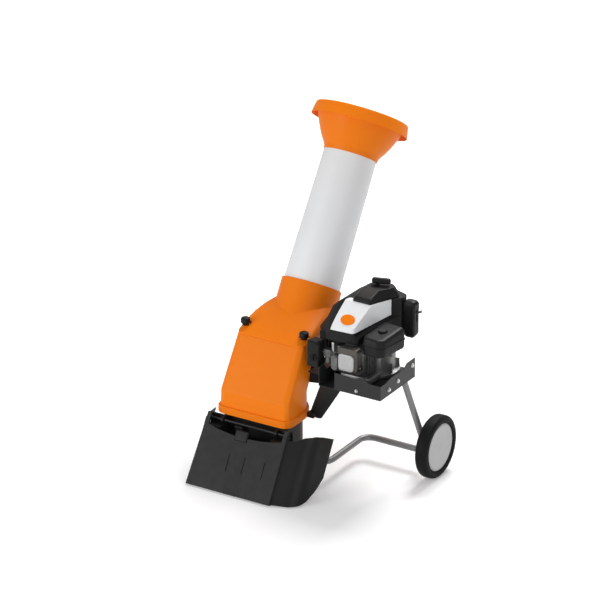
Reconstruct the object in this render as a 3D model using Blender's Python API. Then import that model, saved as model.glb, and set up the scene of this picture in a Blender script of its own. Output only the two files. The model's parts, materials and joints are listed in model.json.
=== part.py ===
"""Petrol garden shredder: tilting hopper, deflector flap and a belt-driven knife disc on a wheeled tube frame."""
import math

import bmesh
import bpy
from mathutils import Matrix, Vector

# Clearance between pieces that touch
GAP = 0.0003

# Wheels and axles
TRACK_HALF = 0.445
WHEEL_RADIUS = 0.125
TYRE_WIDTH = 0.052
TYRE_SEAT_RADIUS = 0.094
HUB_WIDTH = 0.040
HUB_BOSS_RADIUS = 0.016
HUB_WEB = 0.006
COVER_THICKNESS = 0.003
AXLE_RADIUS = 0.007
AXLE_HEAD_RADIUS = 0.012
AXLE_HEAD = 0.006

# Bent chassis tubes
TUBE_RADIUS = 0.0125
TUBE_BEND = 0.045
TUBE_LOW_Z = 0.083
AXLE_TUBE_ROOM = 0.0775
AXLE_TUBE_X = TRACK_HALF - AXLE_TUBE_ROOM
LEG_TILT_ROOM = 0.0026
RIGHT_LEG_TOP = (0.345, -0.120)
LEFT_LEG_TOP = (-0.338, -0.170)
SHELF_Z = 0.378
RIGHT_RUN_X = 0.0975
LEFT_RUN_ROOM = 0.0055
LEFT_RUN_X = -AXLE_TUBE_X - LEFT_RUN_ROOM
FRONT_RUN_Y = -0.272

# Cutter housing, a leaning shell with a flat front and a round back
BODY_X = -0.168
FLANGE_Z = 0.243
FLANGE_HEIGHT = 0.028
FLANGE_PROUD = 0.009
CREASE_Z = 0.333
SPLIT_Z = 0.528
FRONT_FOOT_Y = -0.379
FRONT_CREASE_Y = -0.377
FRONT_TOP_Y = -0.258
FOOT_HALF_WIDTH = 0.157
TOP_HALF_WIDTH = 0.150
BODY_DEPTH = 0.236
BODY_FLAT_SIDE = 0.112
FRONT_CORNER = 0.028
SHELL = 0.004

# Discharge base under the housing
BASE_BOTTOM_Z = 0.030
BASE_INSET = 0.016
BASE_LIP = 0.020
OUTLET_HALF_WIDTH = 0.110
OUTLET_TOP_Z = 0.165
FOOT_WIDTH = 0.030
FOOT_LENGTH = 0.080
FOOT_CENTRE_Y = -0.312

# Deflector flap
FLAP_PIVOT = Vector((BODY_X, -0.402, 0.226))
FLAP_TOE_Y = -0.566
FLAP_TOE_Z = 0.006
FLAP_LEAN = math.radians(30.2)
FLAP_HALF_WIDTH = 0.1855
FLAP_FLARE = math.radians(20.0)
FLAP_WING = 0.256
FLAP_BEND = 0.014
FLAP_WING_TOPS = [(0.0, 0.270), (0.037, 0.251), (0.143, 0.236), (0.256, 0.197)]
FLAP_EAR_TOP = 0.290
FLAP_EAR_WIDTH = 0.020
FLAP_REAR_CORNER = (0.050, 0.088)
FLAP_WALL = 0.004
FLAP_ROD_RADIUS = 0.004
FLAP_LUG_X = 0.120
FLAP_LUG_WIDTH = 0.014

# Hopper, feed tube and funnel, on one leaning axis
HOPPER_LEAN = math.radians(31.9)
COLLAR_TOP = Vector((BODY_X, 0.055, 0.645))
COLLAR_LENGTH = 0.060
FEED_TUBE_RADIUS = 0.1125
FEED_TUBE_WALL = 0.003
FEED_TUBE_SHOWN = 0.505
COLLAR_WALL = 0.007
TUBE_SEAT_DEPTH = 0.045
FUNNEL_NECK = 0.022
FUNNEL_HEIGHT = 0.169
RIM_RADIUS = 0.178
RIM_SKIRT_RADIUS = 0.1895
RIM_SKIRT = 0.050
FUNNEL_WALL = 0.004
HINGE_PIN_RADIUS = 0.005
HINGE_BARREL_RADIUS = 0.011
HINGE_LENGTH = 0.150
HINGE_Z = SPLIT_Z - 0.010
KNOB_X = 0.131
KNOB_BACK = 0.040
KNOB_RADIUS = 0.020
KNOB_HEIGHT = 0.024
KNOB_STUD_RADIUS = 0.004
KNOB_SEAT_Z = 0.545
KNOB_PAD_HALF = 0.019
NUT_PAD_DEPTH = 0.016

# Engine deck and its gusset
DECK_Z = 0.430
DECK_PLATE = 0.003
DECK_LEFT = 0.0925
DECK_RIGHT = 0.3625
DECK_FRONT = -0.326
DECK_BACK = -0.020
SKIRT_HEIGHT = 0.070
SKIRT_BACK = -0.067
SKIRT_START = 0.162
SHAFT_HOLE_RADIUS = 0.030
BOLT_RADIUS = 0.0055
BOLT_HEAD = 0.004
GUSSET_FOOT = Vector((0.030, -0.235, 0.262))
GUSSET_WIDTH = 0.052
GUSSET_PLATE = 0.005

# Belt drive and knife disc
SHAFT_Y = -0.190
KNIFE_SHAFT_RADIUS = 0.010
KNIFE_DISC_RADIUS = 0.096
KNIFE_DISC_PLATE = 0.006
KNIFE_COUNT = 2
BELT_Z = 0.398
BELT_WIDTH = 0.012
BELT_HEIGHT = 0.008
DRIVE_PULLEY_RADIUS = 0.036
DRIVEN_PULLEY_RADIUS = 0.045
PULLEY_HEIGHT = 0.022
GUARD_WALL = 0.0025
GUARD_ROOM = 0.012
GUARD_FLOOR_Z = 0.370
FLOOR_PLATE = 0.004
BEARING_RADIUS = 0.021
BEARING_HEIGHT = 0.022

# Engine, in its own axes: +X forward to the cylinder head, +Y to the fuel tank, Z up from the deck
ENGINE = Vector((0.200, -0.091, DECK_Z + DECK_PLATE + GAP))
CRANK_RADIUS = 0.0125
CASE_RADIUS = 0.080
CASE_FLANGE_RADIUS = 0.098
CASE_FLANGE = 0.012
CASE_HEIGHT = 0.125
CYLINDER_START = 0.084
CYLINDER_END = 0.140
HEAD_END = 0.164
HEAD_LEFT = -0.088
HEAD_RIGHT = 0.044
ROCKER_END = 0.194
CYLINDER_Z = 0.092
FIN_HALF = 0.054
FIN_PITCH = 0.011
FIN_THICKNESS = 0.004
COWL_PLAN = [(0.177, -0.100), (0.171, 0.008), (0.020, 0.082), (-0.050, 0.082),
             (-0.086, 0.045), (-0.086, -0.045), (-0.050, -0.084), (0.060, -0.098)]
COWL_CORNER = 0.018
COWL_LOW = 0.166
COWL_SEAM = 0.212
COWL_NOSE_TOP = 0.236
COWL_TOP = 0.300
COWL_FLAT_FROM = 0.090
COWL_WALL = 0.003
SKIRT_RADIUS = 0.080
RECOIL_RADIUS = 0.087
RECOIL_RISE = 0.036
RECOIL_WALL = 0.003
FLYWHEEL_RADIUS = 0.070
FLYWHEEL_HEIGHT = 0.062
STARTER_CUP_RADIUS = 0.032
HANDLE_PLACE = (-0.020, 0.010)
HANDLE_LENGTH = 0.074
HANDLE_RADIUS = 0.009
HANDLE_RISE = 0.022
ROPE_RADIUS = 0.0025
TANK_CENTRE = (0.114, 0.100)
TANK_LENGTH = 0.160
TANK_WIDTH = 0.056
TANK_TURN = math.radians(-8)
TANK_BOTTOM = 0.142
TANK_HEIGHT = 0.073
FUEL_CAP_RADIUS = 0.016
FUEL_CAP_HEIGHT = 0.011
MUFFLER_LEFT = -0.040
MUFFLER_RIGHT = 0.045
MUFFLER_FRONT = 0.208
MUFFLER_BOTTOM = 0.066
MUFFLER_TOP = 0.163
MUFFLER_SHIELD = 0.004
CLEANER_LEFT = -0.182
CLEANER_RIGHT = -0.128
CLEANER_BACK = 0.150
CLEANER_SPLIT = 0.174
CLEANER_FRONT = 0.200
CLEANER_BOTTOM = 0.047
CLEANER_TOP = 0.154
DIPSTICK_PLACE = (-0.052, -0.082)
DIPSTICK_RADIUS = 0.009
CONTROL_PLACE = (-0.056, 0.124)
CONTROL_WIDTH = 0.052
CONTROL_DEPTH = 0.044
CONTROL_BOTTOM = 0.144
CONTROL_TOP = 0.294

PARTS = {}


def clear_scene():
    for item in list(bpy.data.objects):
        bpy.data.objects.remove(item, do_unlink=True)


def material(name, colour, roughness, metallic=0.0):
    found = bpy.data.materials.get(name)
    if found:
        return found
    made = bpy.data.materials.new(name)
    made.use_nodes = True
    shader = made.node_tree.nodes["Principled BSDF"]
    shader.inputs["Base Color"].default_value = (*colour, 1.0)
    shader.inputs["Roughness"].default_value = roughness
    shader.inputs["Metallic"].default_value = metallic
    made.diffuse_color = (*colour, 1.0)
    return made


def orange():
    return material("orange_plastic", (0.90, 0.24, 0.012), 0.38)


def black_plastic():
    return material("black_plastic", (0.022, 0.024, 0.023), 0.45)


def black_steel():
    return material("black_steel", (0.030, 0.031, 0.032), 0.42, 0.3)


def rubber():
    return material("rubber", (0.012, 0.012, 0.012), 0.75)


def grey_tube_paint():
    return material("grey_paint", (0.30, 0.30, 0.30), 0.38, 0.4)


def cast_aluminium():
    return material("cast_aluminium", (0.55, 0.55, 0.54), 0.45, 0.9)


def bare_steel():
    return material("bare_steel", (0.50, 0.50, 0.50), 0.30, 1.0)


def white_plastic():
    return material("white_plastic", (0.80, 0.80, 0.80), 0.35)


def light_grey_plastic():
    return material("light_grey_plastic", (0.46, 0.46, 0.46), 0.40)


def to_world(frame, points):
    return [frame @ Vector(point) for point in points]


def loft(mesh, rings, closed=False):
    """Skins one ring of points after another, with end caps unless the rings close on themselves."""
    rows = [[mesh.verts.new(point) for point in ring] for ring in rings]
    pairs = list(zip(rows, rows[1:]))
    if closed:
        pairs.append((rows[-1], rows[0]))
    for lower, upper in pairs:
        count = len(lower)
        for i in range(count):
            j = (i + 1) % count
            mesh.faces.new((lower[i], lower[j], upper[j], upper[i]))
    if not closed:
        mesh.faces.new(rows[0])
        mesh.faces.new(rows[-1])


def circle(radius, height, count=20):
    steps = [2 * math.pi * i / count for i in range(count)]
    return [(radius * math.cos(a), radius * math.sin(a), height) for a in steps]


def hexagon(radius, height, count=24):
    """A hexagon with as many points as a circle of the same count."""
    ring = []
    for i in range(count):
        angle = 2 * math.pi * i / count
        reach = radius * math.cos(math.pi / 6) / math.cos(angle % (math.pi / 3) - math.pi / 6)
        ring.append((reach * math.cos(angle), reach * math.sin(angle), height))
    return ring


def revolve(mesh, profile, frame=Matrix(), count=20, closed=False):
    """Turns a profile of (radius, height) pairs about the frame's Z axis."""
    loft(mesh, [to_world(frame, circle(radius, height, count)) for radius, height in profile], closed)


def pipe_wall(mesh, outer, inner, low, high, frame=Matrix(), count=20):
    revolve(mesh, [(outer, low), (outer, high), (inner, high), (inner, low)], frame, count, closed=True)


def rod(mesh, start, end, radius, count=14):
    start, end = Vector(start), Vector(end)
    frame = Matrix.Translation(start) @ (end - start).to_track_quat("Z", "Y").to_matrix().to_4x4()
    revolve(mesh, [(radius, 0.0), (radius, (end - start).length)], frame, count)


def box(mesh, low, high, frame=Matrix(), round_edges=0.0, segments=2):
    """A block between two corners, with its edges rounded if asked."""
    x0, y0, z0 = low
    x1, y1, z1 = high
    before = set(mesh.edges)
    corners = [(x0, y0), (x1, y0), (x1, y1), (x0, y1)]
    loft(mesh, [to_world(frame, [(x, y, z) for x, y in corners]) for z in (z0, z1)])
    if round_edges:
        edges = [edge for edge in mesh.edges if edge not in before]
        bmesh.ops.bevel(mesh, geom=edges, offset=round_edges, segments=segments, profile=0.5, affect="EDGES")


def prism(mesh, outline, low, high, frame=Matrix()):
    """Raises a flat outline of (x, y) pairs from low to high along the frame's Z axis."""
    loft(mesh, [to_world(frame, [(x, y, z) for x, y in outline]) for z in (low, high)])


def arc(centre, radius, start, end, steps):
    """Points on an arc, its angles in degrees."""
    angles = [math.radians(start + (end - start) * i / steps) for i in range(steps + 1)]
    return [(centre[0] + radius * math.cos(a), centre[1] + radius * math.sin(a)) for a in angles]


def rounded_path(points, radius, steps=4):
    """Replaces each inner corner of a path by an arc of the bend radius."""
    points = [Vector(point) for point in points]
    path = [points[0]]
    for before, corner, after in zip(points, points[1:], points[2:]):
        to_before = (before - corner).normalized()
        to_after = (after - corner).normalized()
        half = to_before.angle(to_after) / 2
        centre = corner + (to_before + to_after).normalized() * radius / math.sin(half)
        start = corner + to_before * radius / math.tan(half) - centre
        end = corner + to_after * radius / math.tan(half) - centre
        turn = start.rotation_difference(end)
        for i in range(steps + 1):
            spin = Matrix.Rotation(turn.angle * i / steps, 3, turn.axis)
            path.append(centre + spin @ start)
    path.append(points[-1])
    return path


def bent_tube(mesh, path, radius, count=12):
    """Sweeps a circle along a path, its frame carried on without twist."""
    tangents = []
    for i, point in enumerate(path):
        ahead = path[min(i + 1, len(path) - 1)] - point
        behind = point - path[max(i - 1, 0)]
        tangents.append((ahead.normalized() + behind.normalized()).normalized())
    side = tangents[0].orthogonal().normalized()
    rings = []
    for i, point in enumerate(path):
        if i:
            side = tangents[i - 1].rotation_difference(tangents[i]) @ side
        cross = tangents[i].cross(side)
        steps = [2 * math.pi * k / count for k in range(count)]
        rings.append([point + (side * math.cos(a) + cross * math.sin(a)) * radius for a in steps])
    loft(mesh, rings)


def piece(name, mesh, finish, origin=(0.0, 0.0, 0.0), sharp=32.0):
    """Makes a named object of the mesh, with its origin at the given point."""
    origin = Vector(origin)
    bmesh.ops.translate(mesh, verts=mesh.verts, vec=-origin)
    bmesh.ops.recalc_face_normals(mesh, faces=mesh.faces)
    data = bpy.data.meshes.new(name)
    mesh.to_mesh(data)
    mesh.free()
    data.shade_smooth()
    data.set_sharp_from_angle(angle=math.radians(sharp))
    made = bpy.data.objects.new(name, data)
    made.location = origin
    data.materials.append(finish)
    bpy.context.scene.collection.objects.link(made)
    PARTS[name] = made
    return made


def boolean(target, mesh, label, operation="DIFFERENCE"):
    """Cuts the mesh out of the target, or joins it on, with a live modifier."""
    tool = piece(f"{target.name}_{label}", mesh, target.data.materials[0])
    tool.hide_render = True
    tool.display_type = "WIRE"
    step = target.modifiers.new(label, "BOOLEAN")
    step.operation = operation
    step.solver = "EXACT"
    step.object = tool
    return tool


def join(target, mesh, label):
    tool = boolean(target, mesh, label, "UNION")
    target.modifiers[label].use_self = True
    return tool


def side_frame(x):
    """A frame whose Z axis runs along world X, for outlines drawn as (y, z)."""
    return Matrix.Translation((x, 0, 0)) @ Matrix(((0, 0, 1, 0), (1, 0, 0, 0), (0, 1, 0, 0), (0, 0, 0, 1)))


def body_front(z):
    """The housing's front face: nearly upright to the crease, then leaning back."""
    if z <= CREASE_Z:
        share = (z - FLANGE_Z) / (CREASE_Z - FLANGE_Z)
        return FRONT_FOOT_Y + share * (FRONT_CREASE_Y - FRONT_FOOT_Y)
    share = (z - CREASE_Z) / (SPLIT_Z - CREASE_Z)
    return FRONT_CREASE_Y + share * (FRONT_TOP_Y - FRONT_CREASE_Y)


def body_section(z, inset=0.0):
    """Level outline of the housing: flat front, round corners, flat sides and a half-round back."""
    share = (z - FLANGE_Z) / (SPLIT_Z - FLANGE_Z)
    half = FOOT_HALF_WIDTH + share * (TOP_HALF_WIDTH - FOOT_HALF_WIDTH) - inset
    front = body_front(z) + inset
    middle = body_front(z) + BODY_FLAT_SIDE
    back = body_front(z) + BODY_DEPTH - inset
    corner = max(FRONT_CORNER - inset, 0.004)
    side = [((half - corner) * step / 3, front) for step in (1, 2)]
    side += arc((half - corner, front + corner), corner, -90, 0, 3)
    side += [(half, front + corner + (middle - front - corner) * step / 3) for step in (1, 2)]
    angles = [math.pi * i / 14 for i in range(7)]
    side += [(half * math.cos(a), middle + (back - middle) * math.sin(a)) for a in angles]
    ring = [(0.0, front), *side, (0.0, back)]
    ring += [(-x, y) for x, y in reversed(side)]
    return [(BODY_X + x, y, z) for x, y in ring]


def knob_pad(mesh, side, low, high):
    """A small block under a screw knob, reaching into the side wall."""
    half = KNOB_PAD_HALF
    middle = body_front(SPLIT_Z) + KNOB_BACK
    inner = BODY_X + side * (KNOB_X - half)
    outer = BODY_X + side * (KNOB_X + half)
    box(mesh, (min(inner, outer), middle - half, low), (max(inner, outer), middle + half, high))


def engine_frame():
    return Matrix.Translation(ENGINE) @ Matrix.Rotation(-math.pi / 2, 4, "Z")


def hopper_frame():
    return Matrix.Translation(COLLAR_TOP) @ Matrix.Rotation(-HOPPER_LEAN, 4, "X")


def crank_point(z=0.0):
    return Vector((ENGINE.x, ENGINE.y, z))


def knife_point(z=0.0):
    return Vector((BODY_X, SHAFT_Y, z))


def belt_outline(extra):
    """The belt's outline round both pulleys, as (x, y) pairs, grown by extra."""
    start, end = crank_point().xy, knife_point().xy
    small, large = DRIVE_PULLEY_RADIUS + extra, DRIVEN_PULLEY_RADIUS + extra
    along = math.atan2(end.y - start.y, end.x - start.x)
    tilt = math.degrees(math.acos((small - large) / (end - start).length))
    heading = math.degrees(along)
    outline = arc(end, large, heading - tilt, heading + tilt, 10)
    return outline + arc(start, small, heading + tilt, heading - tilt + 360, 10)


def make_running_gear():
    for side, name in ((1, "right"), (-1, "left")):
        outer = side * TRACK_HALF
        inward = Matrix.Translation((outer, 0, WHEEL_RADIUS)) @ Matrix.Rotation(-side * math.pi / 2, 4, "Y")
        make_wheel(name, inward)
        make_axle(name, side, inward)
    make_chassis_tubes()


def make_wheel(name, frame):
    """Tyre, hub and flat cover, drawn from the outer face inwards along the frame's Z."""
    centre = frame.translation
    wide, seat = TYRE_WIDTH, TYRE_SEAT_RADIUS
    shoulder = 0.013
    mesh = bmesh.new()
    profile = [(seat, 0.004), (seat + 0.006, 0.0), (WHEEL_RADIUS - shoulder, 0.0)]
    profile += [(WHEEL_RADIUS - shoulder + x, shoulder - y)
                for x, y in ((shoulder * math.sin(a), shoulder * math.cos(a)) for a in (0.7, 1.3))]
    profile += [(r, wide - z) for r, z in reversed(profile)]
    revolve(mesh, profile, frame, 32, closed=True)
    piece(f"{name}_tyre", mesh, rubber(), centre)

    hub_outer = seat - GAP
    start = (wide - HUB_WIDTH) / 2
    bore = AXLE_RADIUS + GAP
    rim = 0.006
    mesh = bmesh.new()
    web = start + 0.016
    boss_end = TRACK_HALF - AXLE_TUBE_X - TUBE_RADIUS - LEG_TILT_ROOM
    profile = [(hub_outer, start), (hub_outer, start + HUB_WIDTH), (hub_outer - rim, start + HUB_WIDTH),
               (hub_outer - rim, web + HUB_WEB), (HUB_BOSS_RADIUS, web + HUB_WEB),
               (HUB_BOSS_RADIUS, start + HUB_WIDTH), (bore + 0.004, boss_end), (bore, boss_end), (bore, web),
               (hub_outer - rim, web), (hub_outer - rim, start)]
    revolve(mesh, profile, frame, 32, closed=True)
    hub = piece(f"{name}_hub", mesh, light_grey_plastic(), centre)
    ribs = bmesh.new()
    for i in range(3):
        turn = frame @ Matrix.Rotation(math.pi * i / 3, 4, "Z")
        for low, high in ((HUB_BOSS_RADIUS - 0.002, hub_outer - rim / 2), (rim / 2 - hub_outer, 0.002 - HUB_BOSS_RADIUS)):
            box(ribs, (low, -0.002, web + HUB_WEB - 0.001), (high, 0.002, start + HUB_WIDTH - 0.006), turn)
    join(hub, ribs, "ribs")

    mesh = bmesh.new()
    outer = hub_outer - 0.004
    profile = [(outer - 0.006, 0.004), (outer, 0.0055), (outer, start - GAP),
               (outer - 0.004, start - GAP), (outer - 0.004, 0.004 + COVER_THICKNESS)]
    revolve(mesh, profile, frame, 28)
    piece(f"{name}_hub_cover", mesh, light_grey_plastic(), centre)


def make_axle(name, side, frame):
    """A stub axle pushed through the chassis tube, with a head inside and a push nut under the hub cover."""
    start = (TYRE_WIDTH - HUB_WIDTH) / 2
    nut = start + 0.016 - GAP
    seat = TRACK_HALF - AXLE_TUBE_X + TUBE_RADIUS + LEG_TILT_ROOM
    mesh = bmesh.new()
    profile = [(AXLE_RADIUS * 1.5, nut - 0.005), (AXLE_RADIUS * 1.5, nut), (AXLE_RADIUS, nut),
               (AXLE_RADIUS, seat), (AXLE_HEAD_RADIUS, seat), (AXLE_HEAD_RADIUS, seat + AXLE_HEAD)]
    revolve(mesh, profile, frame, 14)
    piece(f"{name}_axle", mesh, bare_steel())


def leg_foot(top, axle_x):
    """Where the leg's line, from its top through the axle, meets the low run."""
    top = Vector(top)
    axle = Vector((axle_x, 0.0, WHEEL_RADIUS))
    share = (WHEEL_RADIUS - TUBE_LOW_Z) / (top.z - WHEEL_RADIUS)
    return axle + (axle - top) * share


def make_chassis_tubes():
    base_half = FOOT_HALF_WIDTH - BASE_INSET
    right_top = (*RIGHT_LEG_TOP, DECK_Z - GAP)
    foot = leg_foot(right_top, AXLE_TUBE_X)
    low = TUBE_LOW_Z
    corners = [right_top, foot, (RIGHT_RUN_X, foot.y, low), (RIGHT_RUN_X, FRONT_RUN_Y, low),
               (BODY_X + base_half + GAP, FRONT_RUN_Y, low)]
    chassis_tube("right", corners, AXLE_TUBE_X)
    left_top = (*LEFT_LEG_TOP, SHELF_Z - GAP)
    foot = leg_foot(left_top, -AXLE_TUBE_X)
    corners = [left_top, foot, (foot.x, FRONT_RUN_Y, low), (BODY_X - base_half - GAP, FRONT_RUN_Y, low)]
    chassis_tube("left", corners, -AXLE_TUBE_X)


def chassis_tube(name, corners, axle_x):
    path = rounded_path(corners, TUBE_BEND)
    flat_end = path[0].z
    path[0] = path[0] + (path[0] - path[1]).normalized() * TUBE_RADIUS
    mesh = bmesh.new()
    bent_tube(mesh, path, TUBE_RADIUS)
    tube = piece(f"{name}_chassis_tube", mesh, grey_tube_paint())
    cut = bmesh.new()
    top = path[0]
    reach = 2.5 * TUBE_RADIUS
    box(cut, (top.x - reach, top.y - reach, flat_end), (top.x + reach, top.y + reach, top.z + reach))
    boolean(tube, cut, "level_end")
    hole = bmesh.new()
    rod(hole, (axle_x - 2 * TUBE_RADIUS, 0, WHEEL_RADIUS), (axle_x + 2 * TUBE_RADIUS, 0, WHEEL_RADIUS),
        AXLE_RADIUS + GAP)
    boolean(tube, hole, "axle_hole")


def make_base():
    """Discharge base: an open-bottomed shell with its outlet behind the flap."""
    top = FLANGE_Z - GAP
    low = BASE_BOTTOM_Z
    wall = BASE_INSET + SHELL
    lip = BASE_INSET + BASE_LIP
    rings = [(BASE_INSET, low), (BASE_INSET, top), (wall, top), (wall, low + SHELL), (lip, low + SHELL), (lip, low)]
    mesh = bmesh.new()
    loft(mesh, [[(x, y, z) for x, y, _ in body_section(FLANGE_Z, inset)] for inset, z in rings], closed=True)
    base = piece("discharge_base", mesh, black_plastic())
    front = body_front(FLANGE_Z) + BASE_INSET
    cut = bmesh.new()
    box(cut, (BODY_X - OUTLET_HALF_WIDTH, front - 0.02, low + SHELL + 0.004),
        (BODY_X + OUTLET_HALF_WIDTH, front + 0.030, OUTLET_TOP_Z), round_edges=0.008)
    boolean(base, cut, "outlet")
    lugs = bmesh.new()
    pivot = FLAP_PIVOT
    reach = 0.011
    outline = [(front + 0.002, pivot.z - 0.020), (front + 0.002, pivot.z + reach)]
    outline += arc((pivot.y, pivot.z), reach, 90, 270, 8)
    for side in (-1, 1):
        start = BODY_X + side * FLAP_LUG_X
        prism(lugs, outline, -FLAP_LUG_WIDTH / 2, FLAP_LUG_WIDTH / 2, side_frame(start))
    tab_z = (OUTLET_TOP_Z + pivot.z) / 2
    box(lugs, (BODY_X - 0.078, front - 0.026, tab_z - 0.014), (BODY_X - 0.040, front + 0.002, tab_z + 0.010),
        round_edges=0.005)
    join(base, lugs, "lugs")
    holes = bmesh.new()
    rod(holes, (BODY_X - 0.16, pivot.y, pivot.z), (BODY_X + 0.16, pivot.y, pivot.z), FLAP_ROD_RADIUS + GAP)
    boolean(base, holes, "rod_holes")
    for side, name in ((1, "right"), (-1, "left")):
        outer = BODY_X + side * (FOOT_HALF_WIDTH - BASE_INSET)
        inner = outer - side * FOOT_WIDTH
        mesh = bmesh.new()
        box(mesh, (min(outer, inner), FOOT_CENTRE_Y - FOOT_LENGTH / 2, 0.0),
            (max(outer, inner), FOOT_CENTRE_Y + FOOT_LENGTH / 2, low - GAP), round_edges=0.003)
        piece(f"{name}_foot", mesh, rubber())


def make_housing():
    """Cutter housing: the leaning orange shell that carries the knife shaft and the hopper."""
    top = SPLIT_Z
    lip = FLANGE_Z + FLANGE_HEIGHT
    mesh = bmesh.new()
    loft(mesh, [body_section(FLANGE_Z, -FLANGE_PROUD), body_section(lip, -FLANGE_PROUD), body_section(lip + 0.002),
                body_section(CREASE_Z), body_section(top)])
    housing = piece("cutter_housing", mesh, orange())

    back = body_front(top) + BODY_DEPTH
    centre_y = back + HINGE_BARREL_RADIUS + 0.004
    barrels = bmesh.new()
    for side in (-1, 1):
        near = BODY_X + side * (HINGE_LENGTH / 6 + GAP)
        far = BODY_X + side * HINGE_LENGTH / 2
        rod(barrels, (near, centre_y, HINGE_Z), (far, centre_y, HINGE_Z), HINGE_BARREL_RADIUS)
    join(housing, barrels, "barrels")
    extras = bmesh.new()
    for side in (-1, 1):
        near = BODY_X + side * (HINGE_LENGTH / 6 + GAP + 0.002)
        far = BODY_X + side * (HINGE_LENGTH / 2 - 0.002)
        box(extras, (min(near, far), back - 0.030, HINGE_Z - 0.010), (max(near, far), centre_y, HINGE_Z - 0.002))
    shelf_x, shelf_y = LEFT_LEG_TOP
    reach = TUBE_RADIUS + 0.006
    box(extras, (shelf_x - reach, shelf_y - reach, SHELF_Z), (shelf_x + 0.060, shelf_y + reach, SHELF_Z + 0.008))
    join(housing, extras, "webs_and_shelf")
    inside = bmesh.new()
    levels = (FLANGE_Z, CREASE_Z, SPLIT_Z)
    sections = [body_section(z, SHELL) for z in levels]
    bottom = [(x, y, FLANGE_Z - 0.01) for x, y, _ in sections[0]]
    open_top = [(x, y, SPLIT_Z + 0.01) for x, y, _ in sections[-1]]
    loft(inside, [bottom, *sections, open_top])
    boolean(housing, inside, "inside")
    pads = bmesh.new()
    for side in (-1, 1):
        knob_pad(pads, side, top - NUT_PAD_DEPTH, top)
    join(housing, pads, "nut_pads")

    holes = bmesh.new()
    for side in (-1, 1):
        x, y = BODY_X + side * KNOB_X, body_front(top) + KNOB_BACK
        rod(holes, (x, y, top - NUT_PAD_DEPTH - 0.004), (x, y, top + 0.002), KNOB_STUD_RADIUS + 0.001)
    rod(holes, (BODY_X - HINGE_LENGTH, centre_y, HINGE_Z), (BODY_X + HINGE_LENGTH, centre_y, HINGE_Z),
        HINGE_PIN_RADIUS + GAP)
    boolean(housing, holes, "holes")
    slot = bmesh.new()
    prism(slot, belt_outline(GUARD_ROOM + GUARD_WALL + GAP), GUARD_FLOOR_Z - GAP, DECK_Z)
    boolean(housing, slot, "belt_slot")

    pin = bmesh.new()
    head = HINGE_PIN_RADIUS * 1.5
    turn = Matrix.Translation((BODY_X - HINGE_LENGTH / 2, centre_y, HINGE_Z)) @ Matrix.Rotation(math.pi / 2, 4, "Y")
    revolve(pin, [(head, -GAP - 0.003), (head, -GAP), (HINGE_PIN_RADIUS, -GAP),
                  (HINGE_PIN_RADIUS, HINGE_LENGTH + GAP), (head, HINGE_LENGTH + GAP),
                  (head, HINGE_LENGTH + GAP + 0.003)], turn, 12)
    piece("hopper_hinge_pin", pin, bare_steel())
    return centre_y


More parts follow.
